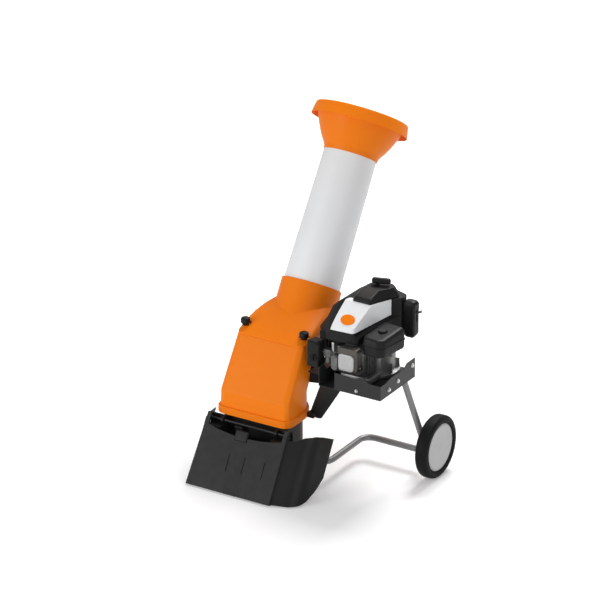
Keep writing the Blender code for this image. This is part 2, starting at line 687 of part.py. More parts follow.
def make_cutter():
    """Chamber floor with its bearing, the knife shaft, disc and knives, and the pulley below."""
    shaft = Matrix.Translation(knife_point())
    mesh = bmesh.new()
    loft(mesh, [body_section(z, SHELL + GAP) for z in (DECK_Z + GAP, DECK_Z + GAP + FLOOR_PLATE)])
    floor = piece("chamber_floor", mesh, black_steel())
    cuts = bmesh.new()
    front = body_front(DECK_Z) + SHELL
    outline = belt_outline(GUARD_ROOM + GUARD_WALL + 0.006)
    ahead = min(y for _, y in outline if _ < BODY_X + 0.02)
    box(cuts, (BODY_X - 0.100, front + 0.014, DECK_Z - 0.01), (BODY_X + 0.100, ahead, DECK_Z + 0.02))
    boolean(floor, cuts, "discharge_opening")
    top = DECK_Z + GAP + FLOOR_PLATE
    boss_low, boss_high = top - FLOOR_PLATE - 0.008, top + 0.008
    boss = bmesh.new()
    revolve(boss, [(BEARING_RADIUS + 0.008, boss_low), (BEARING_RADIUS + 0.008, boss_high)], shaft, 20)
    join(floor, boss, "bearing_boss")
    bore = bmesh.new()
    middle = (boss_low + boss_high) / 2
    low, high = middle - BEARING_HEIGHT / 2, middle + BEARING_HEIGHT / 2
    revolve(bore, [(BEARING_RADIUS + GAP, low - 0.02), (BEARING_RADIUS + GAP, high + 0.02)], shaft, 20)
    boolean(floor, bore, "bearing_bore")
    mesh = bmesh.new()
    pipe_wall(mesh, BEARING_RADIUS, KNIFE_SHAFT_RADIUS + GAP, low, high, shaft, 20)
    piece("shaft_bearing", mesh, bare_steel())

    disc_low = boss_high + 0.009
    disc_top = disc_low + KNIFE_DISC_PLATE
    pulley_low = BELT_Z - PULLEY_HEIGHT / 2
    origin = knife_point(disc_low)
    mesh = bmesh.new()
    shoulder = KNIFE_SHAFT_RADIUS + 0.006
    revolve(mesh, [(KNIFE_SHAFT_RADIUS, pulley_low - 0.006), (KNIFE_SHAFT_RADIUS, high + GAP),
                   (shoulder, high + GAP), (shoulder, disc_low - GAP), (KNIFE_SHAFT_RADIUS, disc_low - GAP),
                   (KNIFE_SHAFT_RADIUS, disc_top + 0.014)], shaft, 16)
    piece("knife_shaft", mesh, bare_steel(), origin)

    mesh = bmesh.new()
    pipe_wall(mesh, KNIFE_DISC_RADIUS, KNIFE_SHAFT_RADIUS + GAP, disc_low, disc_top, shaft, 32)
    disc = piece("knife_disc", mesh, black_steel(), origin)
    gaps = bmesh.new()
    paddles = bmesh.new()
    for i in range(KNIFE_COUNT):
        turn = shaft @ Matrix.Rotation(2 * math.pi * i / KNIFE_COUNT, 4, "Z")
        box(gaps, (0.034, -0.014, disc_low - 0.01), (0.088, -0.004, disc_top + 0.01), turn, round_edges=0.002)
        box(paddles, (0.040, 0.018, disc_low - 0.006), (0.088, 0.021, disc_low + 0.002), turn)
    boolean(disc, gaps, "chip_slots")
    join(disc, paddles, "paddles")
    for i in range(KNIFE_COUNT):
        turn = shaft @ Matrix.Rotation(2 * math.pi * i / KNIFE_COUNT, 4, "Z")
        blade_low = disc_top + GAP
        outline = [(-0.012, blade_low), (0.014, blade_low), (0.014, blade_low + 0.004), (-0.004, blade_low + 0.004)]
        mesh = bmesh.new()
        loft(mesh, [to_world(turn, [(x, y, z) for y, z in outline]) for x in (0.032, 0.090)])
        knife = piece(f"knife_{i + 1}", mesh, bare_steel(), origin)
        bolts = bmesh.new()
        for x in (0.046, 0.076):
            place = turn @ Matrix.Translation((x, 0.006, 0))
            revolve(bolts, [(0.005, blade_low + 0.002), (0.005, blade_low + 0.007)], place, 6)
        join(knife, bolts, "bolts")
    mesh = bmesh.new()
    nut_low, nut_high = disc_top + GAP, disc_top + 0.011
    bore = KNIFE_SHAFT_RADIUS + GAP
    rings = [hexagon(bore + 0.007, nut_low), hexagon(bore + 0.007, nut_high), circle(bore, nut_high, 24),
             circle(bore, nut_low, 24)]
    loft(mesh, [to_world(shaft, ring) for ring in rings], closed=True)
    piece("disc_nut", mesh, bare_steel(), origin)
    make_pulley("driven_pulley", knife_point(), DRIVEN_PULLEY_RADIUS, KNIFE_SHAFT_RADIUS, origin)


def make_pulley(name, centre, radius, shaft_radius, origin):
    """A one-groove V-pulley whose groove clears the belt's three sides."""
    half = PULLEY_HEIGHT / 2
    floor_radius = radius - BELT_HEIGHT - 0.0015
    mouth = BELT_WIDTH / 2 + GAP * 2
    narrow = mouth - 0.002
    profile = [(shaft_radius + GAP, -half), (radius, -half), (radius, -mouth), (floor_radius, -narrow),
               (floor_radius, narrow), (radius, mouth), (radius, half), (shaft_radius + GAP, half)]
    mesh = bmesh.new()
    revolve(mesh, profile, Matrix.Translation((centre.x, centre.y, BELT_Z)), 24, closed=True)
    return piece(name, mesh, cast_aluminium(), origin)


def make_drive():
    """V-belt and the guard that hangs round it under the deck."""
    wide, narrow = BELT_WIDTH / 2, BELT_WIDTH / 2 - 0.002
    ring = [(-0.001, wide), (-0.001, -wide), (-BELT_HEIGHT - 0.001, -narrow), (-BELT_HEIGHT - 0.001, narrow)]
    mesh = bmesh.new()
    rings = [[(x, y, BELT_Z + z) for x, y in belt_outline(grow)] for grow, z in ring]
    loft(mesh, rings, closed=True)
    piece("v_belt", mesh, rubber())

    mesh = bmesh.new()
    outer = belt_outline(GUARD_ROOM + GUARD_WALL)
    prism(mesh, outer, GUARD_FLOOR_Z, DECK_Z - GAP)
    guard = piece("belt_guard", mesh, black_plastic())
    room = bmesh.new()
    prism(room, belt_outline(GUARD_ROOM), GUARD_FLOOR_Z + GUARD_WALL, DECK_Z + 0.01)
    boolean(guard, room, "belt_room")


def make_hopper(hinge_y):
    """Orange hopper base, from the housing's outline to a round collar on the leaning axis."""
    low = SPLIT_Z + GAP
    frame = hopper_frame()
    count = len(body_section(SPLIT_Z))
    outer_radius = FEED_TUBE_RADIUS + COLLAR_WALL
    inner_radius = FEED_TUBE_RADIUS - FEED_TUBE_WALL

    def collar_ring(radius, height):
        turned = [2 * math.pi * i / count - math.pi / 2 for i in range(count)]
        return [frame @ Vector((radius * math.cos(a), radius * math.sin(a), height)) for a in turned]

    def level(ring, z):
        return [(x, y, z) for x, y, _ in ring]

    mesh = bmesh.new()
    rim = body_section(SPLIT_Z)
    loft(mesh, [level(rim, low), level(rim, low + 0.006), collar_ring(outer_radius, -COLLAR_LENGTH),
                collar_ring(outer_radius, 0.0)])
    origin = (BODY_X, hinge_y, HINGE_Z)
    hopper = piece("hopper_base", mesh, orange(), origin)

    barrel = bmesh.new()
    half = HINGE_LENGTH / 6 - GAP
    rod(barrel, (BODY_X - half, hinge_y, HINGE_Z), (BODY_X + half, hinge_y, HINGE_Z), HINGE_BARREL_RADIUS)
    join(hopper, barrel, "barrel")
    web = bmesh.new()
    box(web, (BODY_X - half + 0.002, hinge_y - 0.008, HINGE_Z + 0.004),
        (BODY_X + half - 0.002, hinge_y + 0.008, low + 0.012))
    join(hopper, web, "web")
    seat = -TUBE_SEAT_DEPTH - GAP
    mouth = body_section(SPLIT_Z, SHELL)
    front = body_front(SPLIT_Z)
    raised = [(x, y, low + 0.002 + 0.008 * (y - front) / BODY_DEPTH) for x, y, _ in mouth]
    cavity = bmesh.new()
    loft(cavity, [collar_ring(FEED_TUBE_RADIUS + GAP, 0.01), collar_ring(FEED_TUBE_RADIUS + GAP, seat),
                  collar_ring(inner_radius, seat), collar_ring(inner_radius, seat - 0.010), raised,
                  level(mouth, low - 0.01)])
    cavity_tool = boolean(hopper, cavity, "cavity")
    back = front + KNOB_BACK
    guards = bmesh.new()
    pockets = bmesh.new()
    for side in (-1, 1):
        x = BODY_X + side * KNOB_X
        rod(guards, (x, back, low - 0.02), (x, back, KNOB_SEAT_Z + 0.070), KNOB_RADIUS + 0.0075, 16)
        rod(pockets, (x, back, KNOB_SEAT_Z), (x, back, KNOB_SEAT_Z + 0.080), KNOB_RADIUS + 0.0035, 20)
    boolean(cavity_tool, guards, "knob_walls")
    boolean(hopper, pockets, "knob_pockets")
    holes = bmesh.new()
    for side in (-1, 1):
        x = BODY_X + side * KNOB_X
        rod(holes, (x, back, low - 0.004), (x, back, KNOB_SEAT_Z + 0.002), KNOB_STUD_RADIUS + GAP)
    rod(holes, (BODY_X - HINGE_LENGTH, hinge_y, HINGE_Z), (BODY_X + HINGE_LENGTH, hinge_y, HINGE_Z),
        HINGE_PIN_RADIUS + GAP)
    boolean(hopper, holes, "holes")

    mesh = bmesh.new()
    tube_top = FEED_TUBE_SHOWN + FUNNEL_NECK
    pipe_wall(mesh, FEED_TUBE_RADIUS, FEED_TUBE_RADIUS - FEED_TUBE_WALL, -TUBE_SEAT_DEPTH, tube_top, frame, 32)
    piece("feed_tube", mesh, white_plastic(), origin)
    make_funnel(frame, tube_top, origin)
    for side, name in ((1, "right"), (-1, "left")):
        make_knob(name, BODY_X + side * KNOB_X, back)


def make_funnel(frame, tube_top, origin):
    """Round funnel: a sleeve over the tube, a flared cone and a turned-down rim."""
    neck = FEED_TUBE_RADIUS + GAP
    wall = FUNNEL_WALL
    low = FEED_TUBE_SHOWN
    rim = low + FUNNEL_HEIGHT
    step = tube_top + GAP
    cone_start = step + 0.004
    throat = FEED_TUBE_RADIUS - FEED_TUBE_WALL
    flare = [(0.30, 0.14), (0.62, 0.42), (0.86, 0.74)]
    rise, spread = rim - cone_start, RIM_RADIUS - wall - throat
    profile = [(neck, low), (neck + wall, low), (neck + wall, cone_start)]
    profile += [(throat + wall + spread * out + 0.002, cone_start + rise * up) for up, out in flare]
    profile += [(RIM_RADIUS - 0.003, rim - wall), (RIM_SKIRT_RADIUS - wall * 0.7, rim - RIM_SKIRT),
                (RIM_SKIRT_RADIUS, rim - RIM_SKIRT), (RIM_RADIUS + 0.001, rim - 0.003),
                (RIM_RADIUS - 0.002, rim), (RIM_RADIUS - wall, rim - 0.001)]
    profile += [(throat + spread * out, cone_start + rise * up) for up, out in reversed(flare)]
    profile += [(throat, cone_start), (throat, step), (neck, step)]
    mesh = bmesh.new()
    revolve(mesh, profile, frame, 32, closed=True)
    piece("funnel", mesh, orange(), origin)


def make_knob(name, x, y):
    """Lobed screw knob with its stud, turning on the stud's axis."""
    seat = KNOB_SEAT_Z + GAP
    mesh = bmesh.new()
    lobes = 6
    count = lobes * 4

    def lobed(radius, z):
        ring = []
        for i in range(count):
            a = 2 * math.pi * i / count
            r = radius * (1 + 0.045 * math.cos(lobes * a))
            ring.append((x + r * math.cos(a), y + r * math.sin(a), z))
        return ring

    def plain(radius, z):
        return [(x + px, y + py, z) for px, py, _ in circle(radius, 0, count)]

    top = seat + KNOB_HEIGHT
    radius = KNOB_RADIUS / 1.045
    loft(mesh, [plain(KNOB_STUD_RADIUS, SPLIT_Z - 0.007), plain(KNOB_STUD_RADIUS, seat),
                plain(radius * 0.62, seat), plain(radius * 0.62, seat + KNOB_HEIGHT * 0.2),
                lobed(radius, seat + KNOB_HEIGHT * 0.3), lobed(radius, top - 0.005),
                lobed(radius * 0.86, top - 0.001), plain(radius * 0.5, top)])
    piece(f"{name}_screw_knob", mesh, black_plastic(), (x, y, seat))


def rounded_plan(corners, radius, steps=3):
    """A closed outline of (x, y) corners with every corner rounded."""
    outline = []
    count = len(corners)
    for i in range(count):
        trio = [(*corners[k % count], 0.0) for k in (i - 1, i, i + 1)]
        outline += [(point.x, point.y) for point in rounded_path(trio, radius, steps)[1:-1]]
    return outline


def inset_plan(corners, distance):
    """Moves every side of an anticlockwise outline inwards by the distance."""
    moved = []
    count = len(corners)
    for i in range(count):
        before, corner, after = (Vector(corners[k % count]) for k in (i - 1, i, i + 1))
        incoming = (corner - before).normalized()
        outgoing = (after - corner).normalized()
        inward = Vector((-incoming.y, incoming.x))
        turn = incoming.angle_signed(outgoing)
        moved.append(corner + inward * distance - incoming * distance * math.tan(-turn / 2))
    return [(point.x, point.y) for point in moved]


def flap_plan():
    """The flap's foot line seen from above: wing, bend, front panel, bend, wing."""
    half = FLAP_HALF_WIDTH
    heading = Vector((math.sin(FLAP_FLARE), math.cos(FLAP_FLARE), 0))
    corner = Vector((half, 0, 0))
    far = corner + heading * FLAP_WING
    bend = rounded_path([far, corner, Vector((0, 0, 0))], FLAP_BEND, 4)[1:-1]
    wing = [corner + heading * FLAP_WING * share for share in (1.0, 0.985, 0.95, 0.90, 0.82, 0.66, 0.48, 0.30, 0.15)]
    ear_end = [corner + heading * FLAP_EAR_WIDTH, *bend, Vector((half - FLAP_EAR_WIDTH, 0, 0))]
    panel = [Vector((half * share, 0, 0)) for share in (0.86, 0.58, 0.29)]
    side = wing + ear_end + panel
    return side + [Vector((0, 0, 0))] + [Vector((-point.x, point.y, 0)) for point in reversed(side)]


def flap_reach(point):
    """How far the flap starts and ends up its lean, above a point of its foot line."""
    behind = point.y / math.cos(FLAP_FLARE)
    across = abs(point.x)
    ear = behind < FLAP_EAR_WIDTH * 0.9 and across > FLAP_HALF_WIDTH - FLAP_EAR_WIDTH * 0.9
    if ear:
        return 0.0, FLAP_EAR_TOP
    if behind <= 0.001:
        dip = 1 - (across / FLAP_HALF_WIDTH) ** 2
        return 0.0, 0.2475 - 0.025 * dip
    top = FLAP_WING_TOPS[-1][1]
    for (start, high), (end, low) in zip(FLAP_WING_TOPS, FLAP_WING_TOPS[1:]):
        if start <= behind <= end:
            top = high + (low - high) * (behind - start) / (end - start)
    run, rise = FLAP_REAR_CORNER
    past = max(0.0, behind - (FLAP_WING - run)) / run
    return rise * (1 - math.sqrt(max(1 - past ** 2, 0.0))), top


def make_flap():
    """Moulded deflector: a leaning front panel with two flared wings, hung on a rod."""
    lean = Vector((0, math.sin(FLAP_LEAN), math.cos(FLAP_LEAN)))
    foot = Vector((BODY_X, FLAP_TOE_Y + FLAP_WALL / 2, FLAP_TOE_Z))
    rows = 5
    mesh = bmesh.new()
    grid = []
    for point in flap_plan():
        low, high = flap_reach(point)
        steps = [low + (high - low) * i / (rows - 1) for i in range(rows)]
        grid.append([mesh.verts.new(foot + point + lean * up) for up in steps])
    for left, right in zip(grid, grid[1:]):
        for i in range(rows - 1):
            mesh.faces.new((left[i], right[i], right[i + 1], left[i + 1]))
    flap = piece("deflector_flap", mesh, black_plastic(), FLAP_PIVOT)
    thick = flap.modifiers.new("thickness", "SOLIDIFY")
    thick.thickness = FLAP_WALL
    thick.offset = 0.0
    thick.use_even_offset = True

    ears = bmesh.new()
    pivot = FLAP_PIVOT
    boss = FLAP_ROD_RADIUS + 0.007
    low_y, low_z = foot.y + lean.y * 0.205, foot.z + lean.z * 0.205
    high_y, high_z = foot.y + lean.y * 0.268, foot.z + lean.z * 0.268
    outline = [(low_y, low_z), *arc((pivot.y, pivot.z), boss, -70, 100, 8), (high_y, high_z)]
    for side in (-1, 1):
        inner = BODY_X + side * (FLAP_HALF_WIDTH - 0.012)
        prism(ears, outline, -0.002, 0.002, side_frame(inner))
    join(flap, ears, "ears")
    ribs = bmesh.new()
    leaning = Matrix.Translation(foot) @ Matrix.Rotation(-FLAP_LEAN, 4, "X")
    for x in (-0.095, 0.0, 0.095):
        box(ribs, (x - 0.003, -FLAP_WALL / 2 - 0.003, 0.030), (x + 0.003, 0.0, 0.190), leaning, round_edges=0.0012)
    join(flap, ribs, "ribs")
    hole = bmesh.new()
    rod(hole, (BODY_X - 0.19, pivot.y, pivot.z), (BODY_X + 0.19, pivot.y, pivot.z), FLAP_ROD_RADIUS + GAP)
    boolean(flap, hole, "rod_hole")

    mesh = bmesh.new()
    head = FLAP_ROD_RADIUS * 1.5
    turn = Matrix.Translation((BODY_X, pivot.y, pivot.z)) @ Matrix.Rotation(math.pi / 2, 4, "Y")
    end = FLAP_HALF_WIDTH - 0.014 - GAP
    revolve(mesh, [(head, -end), (head, 0.006 - end), (FLAP_ROD_RADIUS, 0.006 - end), (FLAP_ROD_RADIUS, end - 0.006),
                   (head, end - 0.006), (head, end)], turn, 12)
    piece("flap_rod", mesh, bare_steel())


def make_deck():
    """Engine deck: a steel tray with upturned skirts, bolted to the right leg and the gusset."""
    plate_top = DECK_Z + DECK_PLATE
    wall = DECK_PLATE
    mesh = bmesh.new()
    box(mesh, (DECK_LEFT, DECK_FRONT, DECK_Z), (DECK_RIGHT, DECK_BACK, plate_top))
    deck = piece("engine_deck", mesh, black_steel())
    skirts = bmesh.new()
    tall = DECK_Z + SKIRT_HEIGHT
    front, rear, middle = DECK_FRONT, SKIRT_BACK, (DECK_FRONT + SKIRT_BACK) / 2
    low = DECK_Z + wall / 2
    right = [(front, low), (rear, low), (rear, tall + 0.010), (rear - 0.060, tall + 0.010),
             (rear - 0.085, tall - 0.006), (middle - 0.050, tall - 0.004), (front + 0.035, tall - 0.012),
             (front, tall - 0.012)]
    prism(skirts, right, 0.0, wall, side_frame(DECK_RIGHT - wall))
    left = [(front, low), (rear, low), (rear, tall - 0.020), (front + 0.055, tall - 0.020),
            (front + 0.035, tall + 0.008), (front, tall + 0.008)]
    prism(skirts, left, 0.0, wall, side_frame(DECK_LEFT))
    facing = Matrix.Translation((0, front + wall, 0)) @ Matrix.Rotation(math.pi / 2, 4, "X")
    across = [(SKIRT_START, low), (DECK_RIGHT - wall / 2, low), (DECK_RIGHT - wall / 2, tall - 0.012),
              (DECK_RIGHT - 0.050, tall - 0.010), (DECK_RIGHT - 0.070, tall + 0.006), (DECK_RIGHT - 0.095, tall + 0.004),
              (DECK_RIGHT - 0.110, tall - 0.004), (SKIRT_START, tall)]
    prism(skirts, across, 0.0, wall, facing)
    join(deck, skirts, "skirts")
    tongue = bmesh.new()
    half = GUARD_ROOM + GUARD_WALL + DRIVE_PULLEY_RADIUS
    reach = BODY_X + FOOT_HALF_WIDTH + 0.006
    box(tongue, (reach, SHAFT_Y - half - 0.002, DECK_Z + 0.0002), (DECK_LEFT + 0.01, SHAFT_Y + half + 0.030, plate_top))
    join(deck, tongue, "tongue")
    holes = bmesh.new()
    rod(holes, crank_point(DECK_Z - 0.01), crank_point(DECK_Z + 0.02), SHAFT_HOLE_RADIUS, 32)
    boolean(deck, holes, "shaft_hole")
    bolts = bmesh.new()
    for y, z in ((rear - 0.022, DECK_Z + 0.056), (middle, DECK_Z + 0.034), (front + 0.062, DECK_Z + 0.024)):
        place = Matrix.Translation((DECK_RIGHT, y, z)) @ Matrix.Rotation(math.pi / 2, 4, "Y")
        revolve(bolts, [(BOLT_RADIUS, -wall / 2), (BOLT_RADIUS, BOLT_HEAD)], place, 6)
    place = Matrix.Translation((DECK_RIGHT - 0.105, front, DECK_Z + 0.018)) @ Matrix.Rotation(math.pi / 2, 4, "X")
    revolve(bolts, [(BOLT_RADIUS, -wall / 2), (BOLT_RADIUS, BOLT_HEAD)], place, 6)
    join(deck, bolts, "bolts")
    make_gusset()


def make_gusset():
    """A strip from the deck's front left corner down to the discharge base, with a rounded foot."""
    top = DECK_Z - GAP
    start = Vector((DECK_LEFT + 0.045, DECK_FRONT + 0.012, top))
    foot = GUSSET_FOOT
    down = (foot - start).normalized()
    side = Vector((1, 0, 0))
    side = (side - down * side.dot(down)).normalized()
    normal = side.cross(down)
    half = GUSSET_WIDTH / 2
    length = (foot - start).length
    outline = [(-half * 1.6, 0.0), *arc((0, length), half, 180, 0, 10), (half * 1.6, 0.0)]
    frame = Matrix((side, down, normal)).transposed().to_4x4()
    frame.translation = start
    mesh = bmesh.new()
    lead = 0.03
    outline[0] = (-half * 1.6, -lead)
    outline[-1] = (half * 1.6, -lead)
    prism(mesh, outline, -GUSSET_PLATE / 2, GUSSET_PLATE / 2, frame)
    strip = piece("deck_gusset", mesh, black_steel())
    level = bmesh.new()
    box(level, (start.x - 0.2, start.y - 0.1, top), (start.x + 0.2, start.y + 0.1, top + 0.1))
    boolean(strip, level, "level_top")
    tab = bmesh.new()
    wall = BODY_X + FOOT_HALF_WIDTH + FLANGE_PROUD + GAP
    box(tab, (wall, foot.y - 0.018, FLANGE_Z + 0.003), (foot.x - 0.004, foot.y + 0.018, FLANGE_Z + FLANGE_HEIGHT - 0.004))
    join(strip, tab, "tab")


def make_engine():
    frame = engine_frame()
    make_crankcase(frame)
    make_cylinder(frame)
    make_cowl(frame)
    make_crankshaft(frame)
    make_tank(frame)
    make_muffler(frame)
    make_air_cleaner(frame)
    make_controls(frame)


def make_crankcase(frame):
    mesh = bmesh.new()
    revolve(mesh, [(CASE_FLANGE_RADIUS, 0.0), (CASE_FLANGE_RADIUS, CASE_FLANGE), (CASE_RADIUS, CASE_FLANGE + 0.004),
                   (CASE_RADIUS, CASE_HEIGHT)], frame, 28)
    case = piece("crankcase", mesh, cast_aluminium())
    front = bmesh.new()
    box(front, (0.030, -0.060, 0.002), (CYLINDER_START - GAP, 0.060, CASE_HEIGHT - 0.004), frame, round_edges=0.006)
    join(case, front, "cylinder_seat")
    sump = bmesh.new()
    box(sump, (0.0, -0.066, 0.001), (0.150, 0.066, 0.030), frame, round_edges=0.008)
    join(case, sump, "sump")
    arm = bmesh.new()
    x, y = TANK_CENTRE
    box(arm, (x - 0.070, 0.045, CASE_HEIGHT - 0.022), (x - 0.046, y + 0.015, CASE_HEIGHT - 0.010), frame)
    box(arm, (x - 0.070, y - 0.010, CASE_HEIGHT - 0.015), (x - 0.046, y + 0.015, TANK_BOTTOM - GAP), frame)
    join(case, arm, "tank_arm")
    ribs = bmesh.new()
    for i in range(6):
        turn = frame @ Matrix.Rotation(math.radians(75 + 42 * i), 4, "Z")
        box(ribs, (CASE_RADIUS - 0.004, -0.002, CASE_FLANGE - 0.002), (CASE_FLANGE_RADIUS - 0.004, 0.002, 0.050), turn)
    join(case, ribs, "case_ribs")
    cuts = bmesh.new()
    revolve(cuts, [(CRANK_RADIUS + GAP, -0.02), (CRANK_RADIUS + GAP, CASE_HEIGHT + 0.02)], frame, 32)
    boolean(case, cuts, "crank_bore")

    x, y = DIPSTICK_PLACE
    place = frame @ Matrix.Translation((x, y, 0))
    filler = bmesh.new()
    revolve(filler, [(DIPSTICK_RADIUS, 0.001), (DIPSTICK_RADIUS, 0.090)], place, 12)
    join(case, filler, "oil_filler")
    bore = bmesh.new()
    revolve(bore, [(DIPSTICK_RADIUS - 0.003, 0.010), (DIPSTICK_RADIUS - 0.003, 0.1)], place, 12)
    boolean(case, bore, "filler_bore")
    mesh = bmesh.new()
    revolve(mesh, [(0.002, 0.014), (0.002, 0.070), (DIPSTICK_RADIUS - 0.003 - GAP, 0.070),
                   (DIPSTICK_RADIUS - 0.003 - GAP, 0.090 + GAP), (DIPSTICK_RADIUS + 0.003, 0.090 + GAP),
                   (DIPSTICK_RADIUS + 0.003, 0.098), (DIPSTICK_RADIUS, 0.100)], place, 12)
    stick = piece("oil_dipstick", mesh, black_plastic(), place.translation + Vector((0, 0, 0.09)))
    grip = bmesh.new()
    box(grip, (-0.010, -0.0025, 0.098), (0.010, 0.0025, 0.112), place, round_edges=0.0015)
    join(stick, grip, "grip")


def make_cylinder(frame):
    """Finned barrel, cylinder head and rocker cover, lying towards the front of the machine."""
    def block(x, left, right, low, high, chamfer):
        return [(x, left + chamfer, low), (x, right - chamfer, low), (x, right, low + chamfer),
                (x, right, high - chamfer), (x, right - chamfer, high), (x, left + chamfer, high),
                (x, left, high - chamfer), (x, left, low + chamfer)]

    half = FIN_HALF
    low, high = CYLINDER_Z - half - 0.004, CYLINDER_Z + half + 0.004
    core = 0.014
    rings = [block(CYLINDER_START, core - half, half - core, low + core, high - core, 0.012)]
    x = CYLINDER_START + 0.006
    while x + FIN_THICKNESS < CYLINDER_END:
        small = (core - half, half - core, low + core, high - core, 0.012)
        wide = (-half, half, low, high, 0.010)
        rings += [block(x, *small), block(x, *wide), block(x + FIN_THICKNESS, *wide), block(x + FIN_THICKNESS, *small)]
        x += FIN_PITCH
    rings.append(block(CYLINDER_END, core - half, half - core, low + core, high - core, 0.012))
    mesh = bmesh.new()
    loft(mesh, [to_world(frame, ring) for ring in rings])
    piece("cylinder", mesh, cast_aluminium())

    mesh = bmesh.new()
    start = CYLINDER_END + GAP
    rings = [block(start, HEAD_LEFT, HEAD_RIGHT, low + 0.006, high - 0.004, 0.014),
             block(HEAD_END - 0.004, HEAD_LEFT, HEAD_RIGHT, low + 0.006, high - 0.004, 0.014),
             block(HEAD_END, HEAD_LEFT + 0.003, HEAD_RIGHT - 0.003, low + 0.009, high - 0.007, 0.014)]
    loft(mesh, [to_world(frame, ring) for ring in rings])
    piece("cylinder_head", mesh, cast_aluminium())
    mesh = bmesh.new()
    right = MUFFLER_LEFT - 0.003
    start = HEAD_END + GAP
    rings = [block(start, HEAD_LEFT + 0.002, right, low + 0.014, high - 0.030, 0.010),
             block(start + 0.005, HEAD_LEFT + 0.002, right, low + 0.014, high - 0.030, 0.010),
             block(start + 0.005, HEAD_LEFT + 0.005, right - 0.003, low + 0.017, high - 0.033, 0.010),
             block(ROCKER_END - 0.006, HEAD_LEFT + 0.005, right - 0.003, low + 0.017, high - 0.033, 0.010),
             block(ROCKER_END, HEAD_LEFT + 0.010, right - 0.008, low + 0.022, high - 0.038, 0.008)]
    loft(mesh, [to_world(frame, ring) for ring in rings])
    piece("rocker_cover", mesh, cast_aluminium())
    seat = Matrix.Translation((HEAD_END + GAP + 0.0067, (HEAD_LEFT + right) / 2, high - 0.030 + GAP))
    lean = seat @ Matrix.Rotation(0.10, 4, "Y")
    mesh = bmesh.new()
    revolve(mesh, [(0.005, 0.0), (0.005, 0.006), (0.0075, 0.008), (0.0075, 0.034), (0.005, 0.038)], frame @ lean, 16)
    piece("spark_plug_boot", mesh, bare_steel())


def cowl_top(x):
    """Height of the cowl's top: level round the crankshaft, falling towards the nose."""
    if x <= COWL_FLAT_FROM:
        return COWL_TOP
    return COWL_TOP - (COWL_TOP - COWL_NOSE_TOP) * (x - COWL_FLAT_FROM) / (COWL_PLAN[0][0] - COWL_FLAT_FROM)


def cowl_ring(inset, height, corner=COWL_CORNER):
    return [(x, y, height) for x, y in rounded_plan(inset_plan(COWL_PLAN, inset), corner)]


def cowl_cover(mesh, frame, inset, low, drop):
    """The cowl's outline up to its top, which is creased where the slope starts."""
    ring = cowl_ring(inset, low, COWL_CORNER - inset)
    crease = COWL_FLAT_FROM
    plan = []
    for (x, y, _), (next_x, next_y, _) in zip(ring, ring[1:] + ring[:1]):
        plan.append((x, y))
        if (x - crease) * (next_x - crease) < 0:
            plan.append((crease, y + (next_y - y) * (crease - x) / (next_x - x)))
    bottom = [mesh.verts.new(frame @ Vector((x, y, low))) for x, y in plan]
    top = [mesh.verts.new(frame @ Vector((x, y, cowl_top(x) - drop))) for x, y in plan]
    for i in range(len(plan)):
        j = (i + 1) % len(plan)
        mesh.faces.new((bottom[i], bottom[j], top[j], top[i]))
    mesh.faces.new(bottom)
    mesh.faces.new([vert for vert, (x, _) in zip(top, plan) if x >= crease])
    mesh.faces.new([vert for vert, (x, _) in zip(top, plan) if x <= crease])


